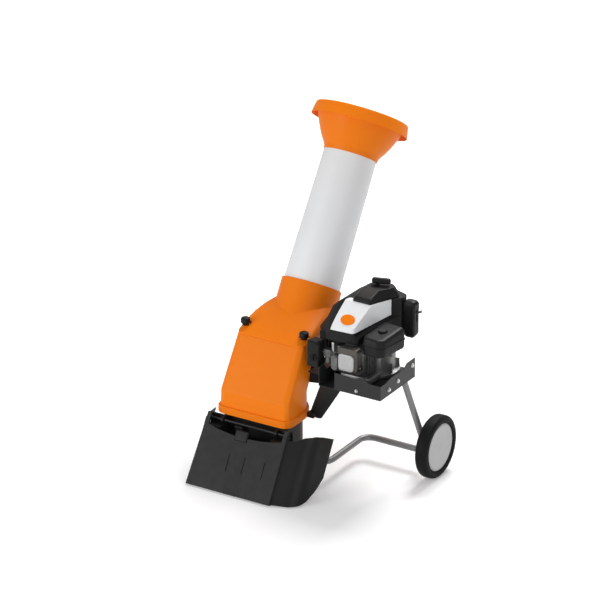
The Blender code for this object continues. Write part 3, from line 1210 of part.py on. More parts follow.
def make_cowl(frame):
    """Blower housing under a light top cover, with the recoil starter's dome on it."""
    mesh = bmesh.new()
    loft(mesh, [to_world(frame, cowl_ring(0.0, COWL_LOW)), to_world(frame, cowl_ring(0.0, COWL_SEAM))])
    housing = piece("blower_housing", mesh, black_plastic())
    room = bmesh.new()
    wall = COWL_WALL
    loft(room, [to_world(frame, cowl_ring(wall, COWL_LOW - 0.01, COWL_CORNER - wall)),
                to_world(frame, cowl_ring(wall, COWL_SEAM + 0.01, COWL_CORNER - wall))])
    boolean(housing, room, "room")
    ring = bmesh.new()
    revolve(ring, [(SKIRT_RADIUS, CASE_HEIGHT + GAP), (SKIRT_RADIUS, COWL_LOW + 0.004),
                   (SKIRT_RADIUS - wall, COWL_LOW + 0.004), (SKIRT_RADIUS - wall, CASE_HEIGHT + GAP)], frame, 28, closed=True)
    join(housing, ring, "inner_ring")

    mesh = bmesh.new()
    cowl_cover(mesh, frame, 0.0, COWL_SEAM + GAP, 0.0)
    cover = piece("top_cowl", mesh, white_plastic())
    hollow = bmesh.new()
    cowl_cover(hollow, frame, wall, COWL_SEAM - 0.01, wall)
    boolean(cover, hollow, "hollow")
    hole = bmesh.new()
    revolve(hole, [(RECOIL_RADIUS - 0.020, COWL_TOP - 0.02), (RECOIL_RADIUS - 0.020, COWL_TOP + 0.02)], frame, 28)
    boolean(cover, hole, "starter_hole")

    low = COWL_TOP + GAP
    top = low + RECOIL_RISE
    outside = [(RECOIL_RADIUS, low), (RECOIL_RADIUS, low + 0.006), (RECOIL_RADIUS - 0.006, low + 0.014),
               (0.060, top - 0.006), (0.030, top - 0.001)]
    thin = RECOIL_WALL
    inside = [(RECOIL_RADIUS - thin, low - 0.01), (RECOIL_RADIUS - thin, low + 0.004),
              (RECOIL_RADIUS - 0.009, low + 0.011), (0.058, top - 0.006 - thin), (0.030, top - 0.001 - thin)]
    mesh = bmesh.new()
    revolve(mesh, outside, frame, 28)
    dome = piece("recoil_cover", mesh, black_plastic())
    hollow = bmesh.new()
    revolve(hollow, inside, frame, 28)
    boolean(dome, hollow, "hollow")
    x, y = HANDLE_PLACE
    exit_place = frame @ Matrix.Translation((x, y, 0))
    boss = bmesh.new()
    revolve(boss, [(0.010, top - 0.012), (0.010, top + 0.002), (0.008, top + 0.004)], exit_place, 12)
    join(dome, boss, "rope_boss")
    rope_hole = bmesh.new()
    revolve(rope_hole, [(ROPE_RADIUS + 0.0012, top - 0.03), (ROPE_RADIUS + 0.0012, top + 0.03)], exit_place, 12)
    boolean(dome, rope_hole, "rope_hole")

    seat = top + 0.004 + GAP
    mesh = bmesh.new()
    revolve(mesh, [(ROPE_RADIUS, top - 0.014), (ROPE_RADIUS, seat), (0.0055, seat), (0.0045, seat + HANDLE_RISE)],
            exit_place, 12)
    handle = piece("starter_handle", mesh, black_plastic(), exit_place.translation + Vector((0, 0, seat)))
    grip = bmesh.new()
    centre = exit_place @ Matrix.Translation((0, 0, seat + HANDLE_RISE)) @ Matrix.Rotation(math.pi / 2, 4, "X")
    half = HANDLE_LENGTH / 2
    radius = HANDLE_RADIUS
    revolve(grip, [(radius * 0.55, -half), (radius * 0.9, 0.003 - half), (radius, 0.010 - half),
                   (radius * 0.85, 0.0), (radius, half - 0.010), (radius * 0.9, half - 0.003),
                   (radius * 0.55, half)], centre, 12)
    join(handle, grip, "grip")

    badge = frame @ Matrix.Translation((0.134, -0.040, cowl_top(0.134) + GAP * 1.4))
    slope = math.atan2(COWL_TOP - COWL_NOSE_TOP, COWL_PLAN[0][0] - COWL_FLAT_FROM)
    mesh = bmesh.new()
    disc = [(0.022 * math.cos(a), 0.030 * math.sin(a)) for a in (2 * math.pi * i / 20 for i in range(20))]
    inner = [(x * 0.93, y * 0.95) for x, y in disc]
    tilt = badge @ Matrix.Rotation(slope, 4, "Y")
    loft(mesh, [to_world(tilt, [(x, y, 0.0) for x, y in disc]), to_world(tilt, [(x, y, 0.0010) for x, y in disc]),
                to_world(tilt, [(x, y, 0.0016) for x, y in inner])])
    piece("cowl_badge", mesh, orange())


def make_crankshaft(frame):
    """Crankshaft with the flywheel and starter cup above and the drive pulley below."""
    origin = crank_point(BELT_Z)
    low = BELT_Z - PULLEY_HEIGHT / 2 - 0.006 - ENGINE.z
    wheel_low = CASE_HEIGHT + 0.008
    top = wheel_low + FLYWHEEL_HEIGHT + 0.010
    mesh = bmesh.new()
    revolve(mesh, [(CRANK_RADIUS, low), (CRANK_RADIUS, top)], frame, 32)
    piece("crankshaft", mesh, bare_steel(), origin)
    bore = CRANK_RADIUS + GAP
    mesh = bmesh.new()
    rim = 0.012
    high = wheel_low + FLYWHEEL_HEIGHT
    revolve(mesh, [(bore, wheel_low), (FLYWHEEL_RADIUS, wheel_low), (FLYWHEEL_RADIUS, high - 0.018),
                   (FLYWHEEL_RADIUS - rim, high - 0.018), (FLYWHEEL_RADIUS - rim, wheel_low + 0.012),
                   (bore + 0.010, wheel_low + 0.012), (bore + 0.010, high), (bore, high)], frame, 28, closed=True)
    wheel = piece("flywheel", mesh, cast_aluminium(), origin)
    vanes = bmesh.new()
    for i in range(8):
        turn = frame @ Matrix.Rotation(2 * math.pi * i / 8, 4, "Z")
        box(vanes, (0.036, -0.0015, wheel_low + 0.010), (FLYWHEEL_RADIUS - 0.002, 0.0015, high), turn)
    join(wheel, vanes, "vanes")
    cup = bmesh.new()
    radius = STARTER_CUP_RADIUS
    cup_low, cup_high = high - 0.006, COWL_TOP - 0.010
    revolve(cup, [(bore + 0.004, cup_low), (bore + 0.004, high + 0.004), (radius, high + 0.004), (radius, cup_high),
                  (radius - 0.003, cup_high), (radius - 0.003, high + 0.007), (bore + 0.002, high + 0.007),
                  (bore + 0.002, cup_low)], frame, 20, closed=True)
    join(wheel, cup, "starter_cup")
    make_pulley("drive_pulley", crank_point(), DRIVE_PULLEY_RADIUS, CRANK_RADIUS, origin)


def make_tank(frame):
    x, y = TANK_CENTRE
    place = frame @ Matrix.Translation((x, y, 0)) @ Matrix.Rotation(TANK_TURN, 4, "Z")
    half, width = TANK_LENGTH / 2, TANK_WIDTH / 2
    plan = [(half, -width * 0.7), (half, width * 0.7), (half * 0.72, width), (-half * 0.86, width),
            (-half, width * 0.8), (-half, -width * 0.8), (-half * 0.86, -width), (half * 0.72, -width)]
    low, high = TANK_BOTTOM, TANK_BOTTOM + TANK_HEIGHT

    def ring(inset, z):
        corner = 0.008 - inset * 0.7
        return to_world(place, [(px, py, z) for px, py in rounded_plan(inset_plan(plan, inset), corner, 2)])

    seam = low + TANK_HEIGHT * 0.55
    mesh = bmesh.new()
    loft(mesh, [ring(0.008, low), ring(0.002, low + 0.006), ring(0.001, seam), ring(-0.001, seam),
                ring(-0.001, seam + 0.004), ring(0.001, seam + 0.004), ring(0.002, high - 0.007),
                ring(0.005, high - 0.002), ring(0.009, high)])
    tank = piece("fuel_tank", mesh, black_plastic())
    neck = bmesh.new()
    revolve(neck, [(0.011, high - 0.004), (0.011, high + 0.002)], place, 16)
    join(tank, neck, "filler_neck")
    bore = bmesh.new()
    revolve(bore, [(0.008, high - 0.030), (0.008, high + 0.02)], place, 16)
    boolean(tank, bore, "filler_bore")
    seat = high + 0.002 + GAP
    count = 20
    mesh = bmesh.new()

    def grip_ring(radius, z, wave):
        ring = []
        for i in range(count):
            a = 2 * math.pi * i / count
            r = radius * (1 + wave * math.cos(5 * a))
            ring.append(place @ Vector((r * math.cos(a), r * math.sin(a), z)))
        return ring

    top = seat + FUEL_CAP_HEIGHT
    radius = FUEL_CAP_RADIUS
    loft(mesh, [grip_ring(0.007, seat - 0.010, 0.0), grip_ring(0.007, seat, 0.0), grip_ring(radius, seat, 0.03),
                grip_ring(radius, top - 0.003, 0.03), grip_ring(radius * 0.84, top, 0.0)])
    piece("fuel_cap", mesh, black_plastic(), place.translation + Vector((0, 0, seat)))


def rounded_box(mesh, frame, start, end, left, right, low, high, corner, edge):
    """A block along the frame's X with round corners and eased front and back edges."""
    def ring(x, inset):
        corners = [(left + inset, low + inset), (right - inset, low + inset), (right - inset, high - inset),
                   (left + inset, high - inset)]
        return to_world(frame, [(x, py, pz) for py, pz in rounded_plan(corners, corner - inset, 4)])

    loft(mesh, [ring(start, edge), ring(start + edge, 0.0), ring(end - edge, 0.0), ring(end, edge)])


def make_muffler(frame):
    mesh = bmesh.new()
    start = HEAD_END + GAP
    rounded_box(mesh, frame, start + 0.008, MUFFLER_FRONT, MUFFLER_LEFT, MUFFLER_RIGHT, MUFFLER_BOTTOM, MUFFLER_TOP,
                0.014, 0.003)
    muffler = piece("muffler", mesh, bare_steel())
    flange = bmesh.new()
    box(flange, (start, -0.030, CYLINDER_Z - 0.016), (start + 0.012, 0.030, CYLINDER_Z + 0.016), frame)
    join(muffler, flange, "exhaust_flange")
    outlet = bmesh.new()
    place = frame @ Matrix.Translation((MUFFLER_FRONT - 0.018, MUFFLER_RIGHT - 0.002, MUFFLER_BOTTOM + 0.022))
    place = place @ Matrix.Rotation(-math.pi / 2, 4, "X")
    revolve(outlet, [(0.008, 0.0), (0.008, 0.012)], place, 12)
    join(muffler, outlet, "outlet")
    bore = bmesh.new()
    revolve(bore, [(0.006, 0.004), (0.006, 0.03)], place, 12)
    boolean(muffler, bore, "outlet_bore")

    mesh = bmesh.new()
    front = MUFFLER_FRONT + GAP
    rounded_box(mesh, frame, front, front + MUFFLER_SHIELD, MUFFLER_LEFT + 0.005, MUFFLER_RIGHT - 0.012,
                MUFFLER_BOTTOM + 0.006, MUFFLER_TOP - 0.012, 0.012, 0.001)
    shield = piece("muffler_shield", mesh, bare_steel())
    slots = bmesh.new()
    middle = (MUFFLER_LEFT + MUFFLER_RIGHT) / 2 - 0.0035
    for i in range(5):
        z = MUFFLER_BOTTOM + 0.026 + i * 0.012
        box(slots, (front - 0.004, middle - 0.022, z), (front + 0.010, middle + 0.022, z + 0.005), frame)
    boolean(shield, slots, "slots")


def make_air_cleaner(frame):
    """Air cleaner with its carburettor, left of the cylinder head."""
    left, right, low, high = CLEANER_LEFT, CLEANER_RIGHT, CLEANER_BOTTOM, CLEANER_TOP
    mesh = bmesh.new()
    rounded_box(mesh, frame, CLEANER_BACK, CLEANER_SPLIT, left + 0.002, right - 0.002, low + 0.002, high - 0.002,
                0.008, 0.002)
    piece("air_cleaner_base", mesh, black_plastic())

    def ring(x, inset, chop):
        points = [(left + inset, low + inset), (right - inset, low + inset), (right - inset, high - inset - chop),
                  (right - 0.014 - inset, high - inset), (left + inset, high - inset)]
        return to_world(frame, [(x, py, pz) for py, pz in rounded_plan(points, 0.005, 3)])

    start = CLEANER_SPLIT + GAP
    mesh = bmesh.new()
    loft(mesh, [ring(start, 0.0, 0.012), ring(CLEANER_FRONT - 0.006, 0.0, 0.012), ring(CLEANER_FRONT, 0.005, 0.012)])
    cover = piece("air_cleaner_cover", mesh, black_plastic())
    place = frame @ Matrix.Translation((CLEANER_FRONT, (left + right) / 2 + 0.004, (low + high) / 2 - 0.010))
    place = place @ Matrix.Rotation(math.pi / 2, 4, "Y")
    recess = bmesh.new()
    revolve(recess, [(0.0145, -0.004), (0.0145, 0.01)], place, 18)
    boolean(cover, recess, "knob_recess")
    hole = bmesh.new()
    revolve(hole, [(0.0033, -0.015), (0.0033, 0.0)], place, 12)
    boolean(cover, hole, "stud_hole")
    mesh = bmesh.new()
    seat = GAP - 0.004
    revolve(mesh, [(0.003, -0.013), (0.003, seat), (0.012, seat), (0.012, 0.001), (0.010, 0.002)], place, 16)
    knob = piece("air_cleaner_knob", mesh, black_plastic(), place.translation)
    wing = bmesh.new()
    box(wing, (-0.010, -0.002, 0.0), (0.010, 0.002, 0.009), place, round_edges=0.0012)
    join(knob, wing, "wing")

    mesh = bmesh.new()
    middle = (low + high) / 2 + 0.006
    box(mesh, (0.146, right + GAP + 0.002, middle - 0.016), (0.172, HEAD_LEFT - 0.004, middle + 0.014), frame,
        round_edges=0.003)
    body = piece("carburettor", mesh, cast_aluminium())
    ends = bmesh.new()
    across = Matrix.Rotation(-math.pi / 2, 4, "X")
    throat = frame @ Matrix.Translation((0.159, right - 0.002 + GAP, middle)) @ across
    revolve(ends, [(0.011, 0.0), (0.011, HEAD_LEFT - right + 0.002 - 2 * GAP)], throat, 14)
    join(body, ends, "throat")
    bowl = bmesh.new()
    under = frame @ Matrix.Translation((0.159, (right + HEAD_LEFT) / 2 - 0.001, middle))
    revolve(bowl, [(0.010, -0.044), (0.014, -0.040), (0.014, -0.012)], under, 14)
    join(body, bowl, "float_bowl")


def make_controls(frame):
    """Throttle box on the engine's right rear side, with its lever."""
    x, y = CONTROL_PLACE
    depth, width = CONTROL_DEPTH / 2, CONTROL_WIDTH / 2
    low, high = CONTROL_BOTTOM, CONTROL_TOP
    mesh = bmesh.new()

    def ring(z, dx, dy, corner):
        corners = [(x - depth + dx, y - width + dy), (x + depth - dx, y - width + dy),
                   (x + depth - dx, y + width - dy), (x - depth + dx, y + width - dy)]
        return to_world(frame, [(px, py, z) for px, py in rounded_plan(corners, corner, 3)])

    loft(mesh, [ring(low, 0.008, 0.010, 0.006), ring(low + 0.014, 0.001, 0.001, 0.008), ring(high - 0.042, 0.001, 0.001, 0.008),
                ring(high - 0.038, 0.0, 0.0, 0.009), ring(high - 0.014, 0.0, 0.0, 0.009), ring(high - 0.004, 0.005, 0.006, 0.008),
                ring(high, 0.014, 0.015, 0.005)])
    body = piece("control_box", mesh, black_plastic())
    arm = bmesh.new()
    side = COWL_PLAN[2][1]
    box(arm, (x + 0.004, side + GAP, COWL_LOW + 0.006), (x + 0.018, y - width + 0.006, COWL_SEAM - 0.008), frame)
    join(body, arm, "arm")
    slot = bmesh.new()
    lever_z = (low + high) / 2 + 0.016
    box(slot, (x - 0.0035, y + width - 0.030, lever_z - 0.028), (x + 0.0035, y + width + 0.01, lever_z + 0.028), frame)
    boolean(body, slot, "lever_slot")
    pivot = frame @ Vector((x, y + width - 0.016, lever_z))
    pin_hole = bmesh.new()
    rod(pin_hole, frame @ Vector((x - 0.014, y + width - 0.016, lever_z)), frame @ Vector((x + 0.014, y + width - 0.016, lever_z)),
        0.003 + GAP, 16)
    boolean(body, pin_hole, "pin_hole")
    mesh = bmesh.new()
    place = frame @ Matrix.Translation((x, y + width - 0.016, lever_z)) @ Matrix.Rotation(math.pi / 2, 4, "Y")
    revolve(mesh, [(0.003, -0.013), (0.003, -0.0025), (0.008, -0.0025), (0.008, 0.0025), (0.003, 0.0025), (0.003, 0.013)],
            place, 12)
    lever = piece("control_lever", mesh, bare_steel(), pivot)
    blade = bmesh.new()
    tilt = frame @ Matrix.Translation((x, y + width - 0.016, lever_z)) @ Matrix.Rotation(0.55, 4, "X")
    box(blade, (-0.002, 0.004, -0.004), (0.002, 0.038, 0.004), tilt)
    box(blade, (-0.005, 0.034, -0.006), (0.005, 0.042, 0.006), tilt, round_edges=0.002)
    join(lever, blade, "blade")


def main():
    clear_scene()
    make_running_gear()
    make_base()
    hinge_y = make_housing()
    make_cutter()
    make_drive()
    make_hopper(hinge_y)
    make_flap()
    make_deck()
    make_engine()


main()
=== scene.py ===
import json
import math

import bpy
from mathutils import Matrix, Vector
from mathutils.kdtree import KDTree

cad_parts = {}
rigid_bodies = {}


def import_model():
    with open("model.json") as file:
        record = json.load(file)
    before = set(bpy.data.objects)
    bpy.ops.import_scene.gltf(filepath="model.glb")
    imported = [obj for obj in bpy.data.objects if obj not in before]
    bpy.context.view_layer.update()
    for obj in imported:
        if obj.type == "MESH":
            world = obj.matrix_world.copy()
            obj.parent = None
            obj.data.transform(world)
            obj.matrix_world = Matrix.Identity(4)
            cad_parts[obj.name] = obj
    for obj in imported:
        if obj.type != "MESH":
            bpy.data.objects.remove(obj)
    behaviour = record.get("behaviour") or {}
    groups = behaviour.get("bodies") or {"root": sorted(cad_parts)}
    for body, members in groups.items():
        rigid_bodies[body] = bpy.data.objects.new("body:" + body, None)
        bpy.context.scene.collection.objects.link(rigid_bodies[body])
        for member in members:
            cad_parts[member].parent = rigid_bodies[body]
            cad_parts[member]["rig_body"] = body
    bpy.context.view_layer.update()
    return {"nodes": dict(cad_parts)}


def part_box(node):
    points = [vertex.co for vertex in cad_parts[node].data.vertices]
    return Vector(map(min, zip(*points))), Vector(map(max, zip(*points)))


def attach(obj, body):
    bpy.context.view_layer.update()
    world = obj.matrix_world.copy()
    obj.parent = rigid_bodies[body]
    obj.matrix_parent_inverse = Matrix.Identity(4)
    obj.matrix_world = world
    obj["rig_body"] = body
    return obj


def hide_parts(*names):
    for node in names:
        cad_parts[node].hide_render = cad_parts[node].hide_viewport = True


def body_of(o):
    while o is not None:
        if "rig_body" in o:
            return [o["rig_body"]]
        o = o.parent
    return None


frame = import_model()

nodes = frame["nodes"]


# The studio: a white floor that keeps a pale shadow, a white surround, and three soft lamps:
# one at the front left, a weaker one at the right, and one behind and above for the shadow.
# The camera stands 15 m away, above and to the right, with a long lens.
CAMERA_TURN = math.radians(31.43)
CAMERA_RISE = math.radians(23.8)
CAMERA_DISTANCE = 15.267
LENS_PIXELS = 4000.0
PICTURE = 600.0
WHEEL_PIXEL = (441.0, 447.5)
SENSOR = 36.0

toward_camera = Vector((math.sin(CAMERA_TURN) * math.cos(CAMERA_RISE),
                        -math.cos(CAMERA_TURN) * math.cos(CAMERA_RISE),
                        math.sin(CAMERA_RISE)))
camera_right = Vector((math.cos(CAMERA_TURN), math.sin(CAMERA_TURN), 0.0))
camera_up = toward_camera.cross(camera_right)
wheel_centre = Vector((0.4425, 0.0, 0.125))
aside = (WHEEL_PIXEL[0] - PICTURE / 2) / LENS_PIXELS * CAMERA_DISTANCE
above = (PICTURE / 2 - WHEEL_PIXEL[1]) / LENS_PIXELS * CAMERA_DISTANCE
bpy.ops.object.camera_add()
camera = bpy.context.object
camera.name = "camera"
camera.location = (wheel_centre - camera_right * aside - camera_up * above
                   + toward_camera * CAMERA_DISTANCE)
camera.rotation_euler = toward_camera.to_track_quat("Z", "Y").to_euler()
camera.data.sensor_width = SENSOR
camera.data.lens = LENS_PIXELS / PICTURE * SENSOR
camera.data.clip_end = 100.0
bpy.context.scene.camera = camera
bpy.context.scene.view_settings.view_transform = "Standard"


class Wire:
    """The output of a shader node. Arithmetic on wires adds the Math nodes that work it out."""

    def __init__(self, finish, socket):
        self.finish = finish
        self.socket = socket

    def reckon(self, operation, first, second):
        return self.finish.node("ShaderNodeMath", {"operation": operation}, {0: first, 1: second})

    def __add__(self, other):
        return self.reckon("ADD", self, other)

    def __mul__(self, other):
        return self.reckon("MULTIPLY", self, other)

    __radd__ = __add__
    __rmul__ = __mul__


class Finish:
    """A node material built on one Principled shader."""

    def __init__(self, name):
        self.material = bpy.data.materials.new(name)
        self.material.use_nodes = True
        self.tree = self.material.node_tree
        self.shader = self.tree.nodes["Principled BSDF"]

    def set(self, socket, value):
        """Gives a socket of the shader a number, a colour or a wire."""
        if isinstance(value, Wire):
            self.tree.links.new(value.socket, self.shader.inputs[socket])
        else:
            self.shader.inputs[socket].default_value = value

    def node(self, kind, settings, values, output=0):
        """Adds a node, its settings first, and returns one of its outputs."""
        made = self.tree.nodes.new(kind)
        for name, setting in settings.items():
            setattr(made, name, setting)
        for name, value in values.items():
            if isinstance(value, Wire):
                self.tree.links.new(value.socket, made.inputs[name])
            else:
                made.inputs[name].default_value = value
        return Wire(self, made.outputs[output])

    def place(self, stretch=(1.0, 1.0, 1.0)):
        """Object coordinates in metres, stretched along each axis."""
        coordinates = self.node("ShaderNodeTexCoord", {}, {}, "Object")
        return self.node("ShaderNodeMapping", {}, {"Vector": coordinates, "Scale": stretch})

    def noise(self, scale, detail=2.0, stretch=(1.0, 1.0, 1.0)):
        return self.node("ShaderNodeTexNoise", {},
                         {"Vector": self.place(stretch), "Scale": scale, "Detail": detail})

    def blend(self, share, first, second):
        """A colour between two, by a share from 0 to 1."""
        return self.node("ShaderNodeMix", {"data_type": "RGBA"},
                         {"Factor": share, "A": (*first, 1.0), "B": (*second, 1.0)}, "Result")

    def grain(self, height, strength, distance):
        """Raises the surface by a height pattern."""
        self.set("Normal", self.node("ShaderNodeBump", {},
                                     {"Height": height, "Strength": strength, "Distance": distance}))


FLOOR_REACH = 30.0
GLOW_START = 0.9
GLOW_FULL = 2.2
GLOW_NEAR = 0.22
MIRRORED_GLOW = 0.10
AIR_LIGHT = 0.42
LAMP_AIM = Vector((0.0, 0.0, 0.6))
bpy.ops.object.select_all(action="DESELECT")
bpy.ops.mesh.primitive_plane_add(size=FLOOR_REACH, location=(0.0, 0.0, 0.0))
floor = bpy.context.object
floor.name = "studio_floor"
white_floor = Finish("studio_white")
white_floor.set("Roughness", 0.9)
white_floor.set("Base Color", (0.86, 0.86, 0.86, 1.0))
white_floor.set("Specular IOR Level", 0.0)
direct = white_floor.node("ShaderNodeLightPath", {}, {}, "Is Camera Ray")
mirrored = white_floor.node("ShaderNodeLightPath", {}, {}, "Is Glossy Ray")
white_floor.set("Emission Color", (1.0, 1.0, 1.0, 1.0))
reach = white_floor.node("ShaderNodeVectorMath", {"operation": "LENGTH"}, {0: white_floor.place()}, "Value")
glow = white_floor.node("ShaderNodeMapRange", {}, {"Value": reach, "From Min": GLOW_START,
                                                   "From Max": GLOW_FULL, "To Min": GLOW_NEAR, "To Max": 1.0})
white_floor.set("Emission Strength", direct * glow + mirrored * MIRRORED_GLOW)
floor.data.materials.append(white_floor.material)

world = bpy.data.worlds.new("studio_air")
bpy.context.scene.world = world
world.use_nodes = True
sky = world.node_tree
seen = sky.nodes.new("ShaderNodeLightPath")
strength = sky.nodes.new("ShaderNodeMapRange")
strength.inputs["To Min"].default_value = AIR_LIGHT
strength.inputs["To Max"].default_value = 1.0
sky.links.new(seen.outputs["Is Camera Ray"], strength.inputs["Value"])
sky.links.new(strength.outputs[0], sky.nodes["Background"].inputs["Strength"])
sky.nodes["Background"].inputs["Color"].default_value = (1.0, 1.0, 1.0, 1.0)


def lamp(name, place, size, power):
    """A square soft lamp that faces the machine."""
    bpy.ops.object.light_add(type="AREA", location=place)
    made = bpy.context.object
    made.name = name
    made.data.size = size
    made.data.energy = power
    made.rotation_euler = (Vector(place) - LAMP_AIM).to_track_quat("Z", "Y").to_euler()


lamp("left_lamp", (-3.0, -4.8, 1.9), 2.6, 126.0)
lamp("right_lamp", (4.2, -4.2, 2.0), 2.8, 68.0)
lamp("top_lamp", (-0.1, 2.3, 4.0), 1.8, 178.0)


# Wheels: smooth black rubber tyres on light grey hubs, each with a plain snap-in disc.
# The tyre is moulded, the hub and its disc are injection-moulded plastic.
# Both wheels turn on a short steel axle that is fixed in the foot of its leg.
TRACK_HALF = 0.445
WHEEL_RADIUS = 0.125
TYRE_WIDTH = 0.052
TYRE_SEAT = 0.094
TYRE_SHOULDER = 0.016
TYRE_BEAD = ((0.0, 0.005), (0.002, 0.002), (0.005, 0.0008), (0.006, 0.0018), (0.007, 0.0018), (0.008, 0.0))
DISC_RADIUS = 0.0895
DISC_DISH = 0.0036
DISC_BACK = 0.0070
SIDES = ((1, "right"), (-1, "left"))

FINE = 0.00002


def only(piece, *others):
    """Selects these pieces and nothing else, with the first one active."""
    bpy.ops.object.select_all(action="DESELECT")
    for each in (piece, *others):
        each.select_set(True)
    bpy.context.view_layer.objects.active = piece


def opened(piece):
    """Opens a piece in edit mode with its whole mesh selected."""
    only(piece)
    bpy.ops.object.mode_set(mode="EDIT")
    bpy.ops.mesh.select_all(action="SELECT")


def settled(piece, place):
    """Moves a piece to its place and keeps the place in its mesh."""
    only(piece)
    piece.matrix_world = place
    bpy.ops.object.transform_apply()
    return piece


def finish_piece(piece, finish, node_names, crease=32.0):
    """Shades a piece, gives it its finish and puts it in the place of the CAD solids that it shows."""
    only(piece)
    bpy.ops.object.shade_smooth_by_angle(angle=math.radians(crease))
    even = piece.modifiers.new("even_shading", "WEIGHTED_NORMAL")
    even.keep_sharp = True
    bpy.ops.object.modifier_apply(modifier=even.name)
    piece.data.materials.clear()
    piece.data.materials.append(finish.material)
    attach(piece, body_of(nodes[node_names[0]])[0])
    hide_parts(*node_names)


def eased(piece, width, segments=2, limit=28.0):
    """Rounds a piece's sharp edges by a small radius."""
    bevel = piece.modifiers.new("eased_edges", "BEVEL")
    bevel.width = width
    bevel.segments = segments
    bevel.limit_method = "ANGLE"
    bevel.angle_limit = math.radians(limit)
    bevel.use_clamp_overlap = False
    bevel.miter_outer = "MITER_ARC"
    only(piece)
    bpy.ops.object.modifier_apply(modifier=bevel.name)


def draw_line(points, closed=True):
    """Shrinks the selected corners to one and extrudes it from point to point."""
    bpy.ops.mesh.merge(type="CENTER")
    bpy.ops.transform.translate(value=points[0])
    for start, end in zip(points, points[1:] + points[:1] if closed else points[1:]):
        bpy.ops.mesh.extrude_region_move(TRANSFORM_OT_translate={"value": end - start})


def faced_out():
    """Turns all faces outwards and leaves edit mode."""
    bpy.ops.mesh.select_all(action="SELECT")
    bpy.ops.mesh.normals_make_consistent(inside=False)
    bpy.ops.object.mode_set(mode="OBJECT")


def turned(name, profile, place, count=96):
    """A round piece: a closed profile of (radius, height) points drawn in edit mode and spun."""
    bpy.ops.object.select_all(action="DESELECT")
    bpy.ops.mesh.primitive_plane_add(size=0.01, location=(0.0, 0.0, 0.0))
    piece = bpy.context.object
    piece.name = name
    opened(piece)
    draw_line([Vector((radius, 0.0, height)) for radius, height in profile])
    bpy.ops.mesh.select_all(action="SELECT")
    bpy.ops.mesh.spin(steps=count, angle=2 * math.pi, center=(0.0, 0.0, 0.0), axis=(0.0, 0.0, 1.0))
    bpy.ops.mesh.select_all(action="SELECT")
    bpy.ops.mesh.remove_doubles(threshold=FINE)
    bpy.ops.mesh.dissolve_degenerate(threshold=FINE)
    faced_out()
    return settled(piece, place)


def surface(name, colours, patches, dulling, grain, metallic=0.0, specular=0.5):
    """A surface whose colour and gloss vary in patches over a fine grain.

    Patches are (scale, detail), dulling (scale, least, spread) and grain (scale, detail, strength, depth).
    """
    finish = Finish(name)
    finish.set("Base Color", finish.blend(finish.noise(*patches), *colours))
    scale, least, spread = dulling
    finish.set("Roughness", finish.noise(scale) * spread + least)
    finish.set("Metallic", metallic)
    finish.set("Specular IOR Level", specular)
    scale, detail, strength, depth = grain
    finish.grain(finish.noise(scale, detail), strength, depth)
    return finish


# The tyres' rubber is matt with a greyed skin; the hubs' plastic is satin.
RUBBER = surface("rubber", [(0.004, 0.0045, 0.0045), (0.008, 0.0085, 0.0085)], patches=(30.0, 2.0),
                 dulling=(50.0, 0.50, 0.14), grain=(700.0, 3.0, 0.18, 0.0005), specular=0.12)
HUB_GREY = surface("light_grey_plastic", [(0.43, 0.43, 0.43), (0.49, 0.49, 0.49)], patches=(18.0, 2.0),
                   dulling=(70.0, 0.36, 0.12), grain=(900.0, 2.0, 0.10, 0.0004))


def arc_points(centre, radius, start, end, steps):
    """Points of an arc in a profile, between two angles in degrees."""
    turns = [math.radians(start + (end - start) * i / steps) for i in range(steps + 1)]
    return [(centre[0] + radius * math.cos(turn), centre[1] + radius * math.sin(turn)) for turn in turns]


for side, hand in SIDES:
    inward = Matrix.Translation((side * TRACK_HALF, 0.0, WHEEL_RADIUS))
    inward = inward @ Matrix.Rotation(-side * math.pi / 2, 4, "Y")
    round_centre = WHEEL_RADIUS - TYRE_SHOULDER
    near = arc_points((round_centre, TYRE_SHOULDER), TYRE_SHOULDER, -90, 0, 6)
    far = [(radius, TYRE_WIDTH - depth) for radius, depth in reversed(near)]
    bead = [(TYRE_SEAT + reach, depth) for reach, depth in TYRE_BEAD]
    profile = bead + near + far + [(radius, TYRE_WIDTH - depth) for radius, depth in reversed(bead)]
    tyre = turned(f"{hand}_wheel_tyre", profile, inward, 112)
    finish_piece(tyre, RUBBER, [f"{hand}_tyre"])

    disc = [(0.0, 0.0045), (DISC_RADIUS - 0.011, 0.0045), (DISC_RADIUS - 0.008, DISC_DISH),
            (DISC_RADIUS - 0.003, DISC_DISH), (DISC_RADIUS - 0.0008, 0.0044), (DISC_RADIUS, 0.0058),
            (DISC_RADIUS, DISC_BACK), (0.0, DISC_BACK)]
    cover = turned(f"{hand}_wheel_disc", disc, inward, 96)
    finish_piece(cover, HUB_GREY, [f"{hand}_hub_cover"], crease=40.0)


def joined_copy(name, new_name):
    """A copy of a CAD solid's mesh with its loose triangles joined into whole faces."""
    copy = bpy.data.objects.new(new_name, nodes[name].data.copy())
    bpy.context.collection.objects.link(copy)
    opened(copy)
    bpy.ops.mesh.remove_doubles(threshold=FINE)
    bpy.ops.mesh.dissolve_limited(angle_limit=math.radians(0.6))
    bpy.ops.object.mode_set(mode="OBJECT")
    return copy


def softened(name, new_name, finish, width, crease=32.0, segments=2):
    """A CAD solid with its edges eased as the real piece's are."""
    copy = joined_copy(name, new_name)
    if width > 0:
        eased(copy, width, segments)
    finish_piece(copy, finish, [name], crease)


for hand in ("right", "left"):
    softened(f"{hand}_hub", f"{hand}_wheel_hub", HUB_GREY, 0.0007)


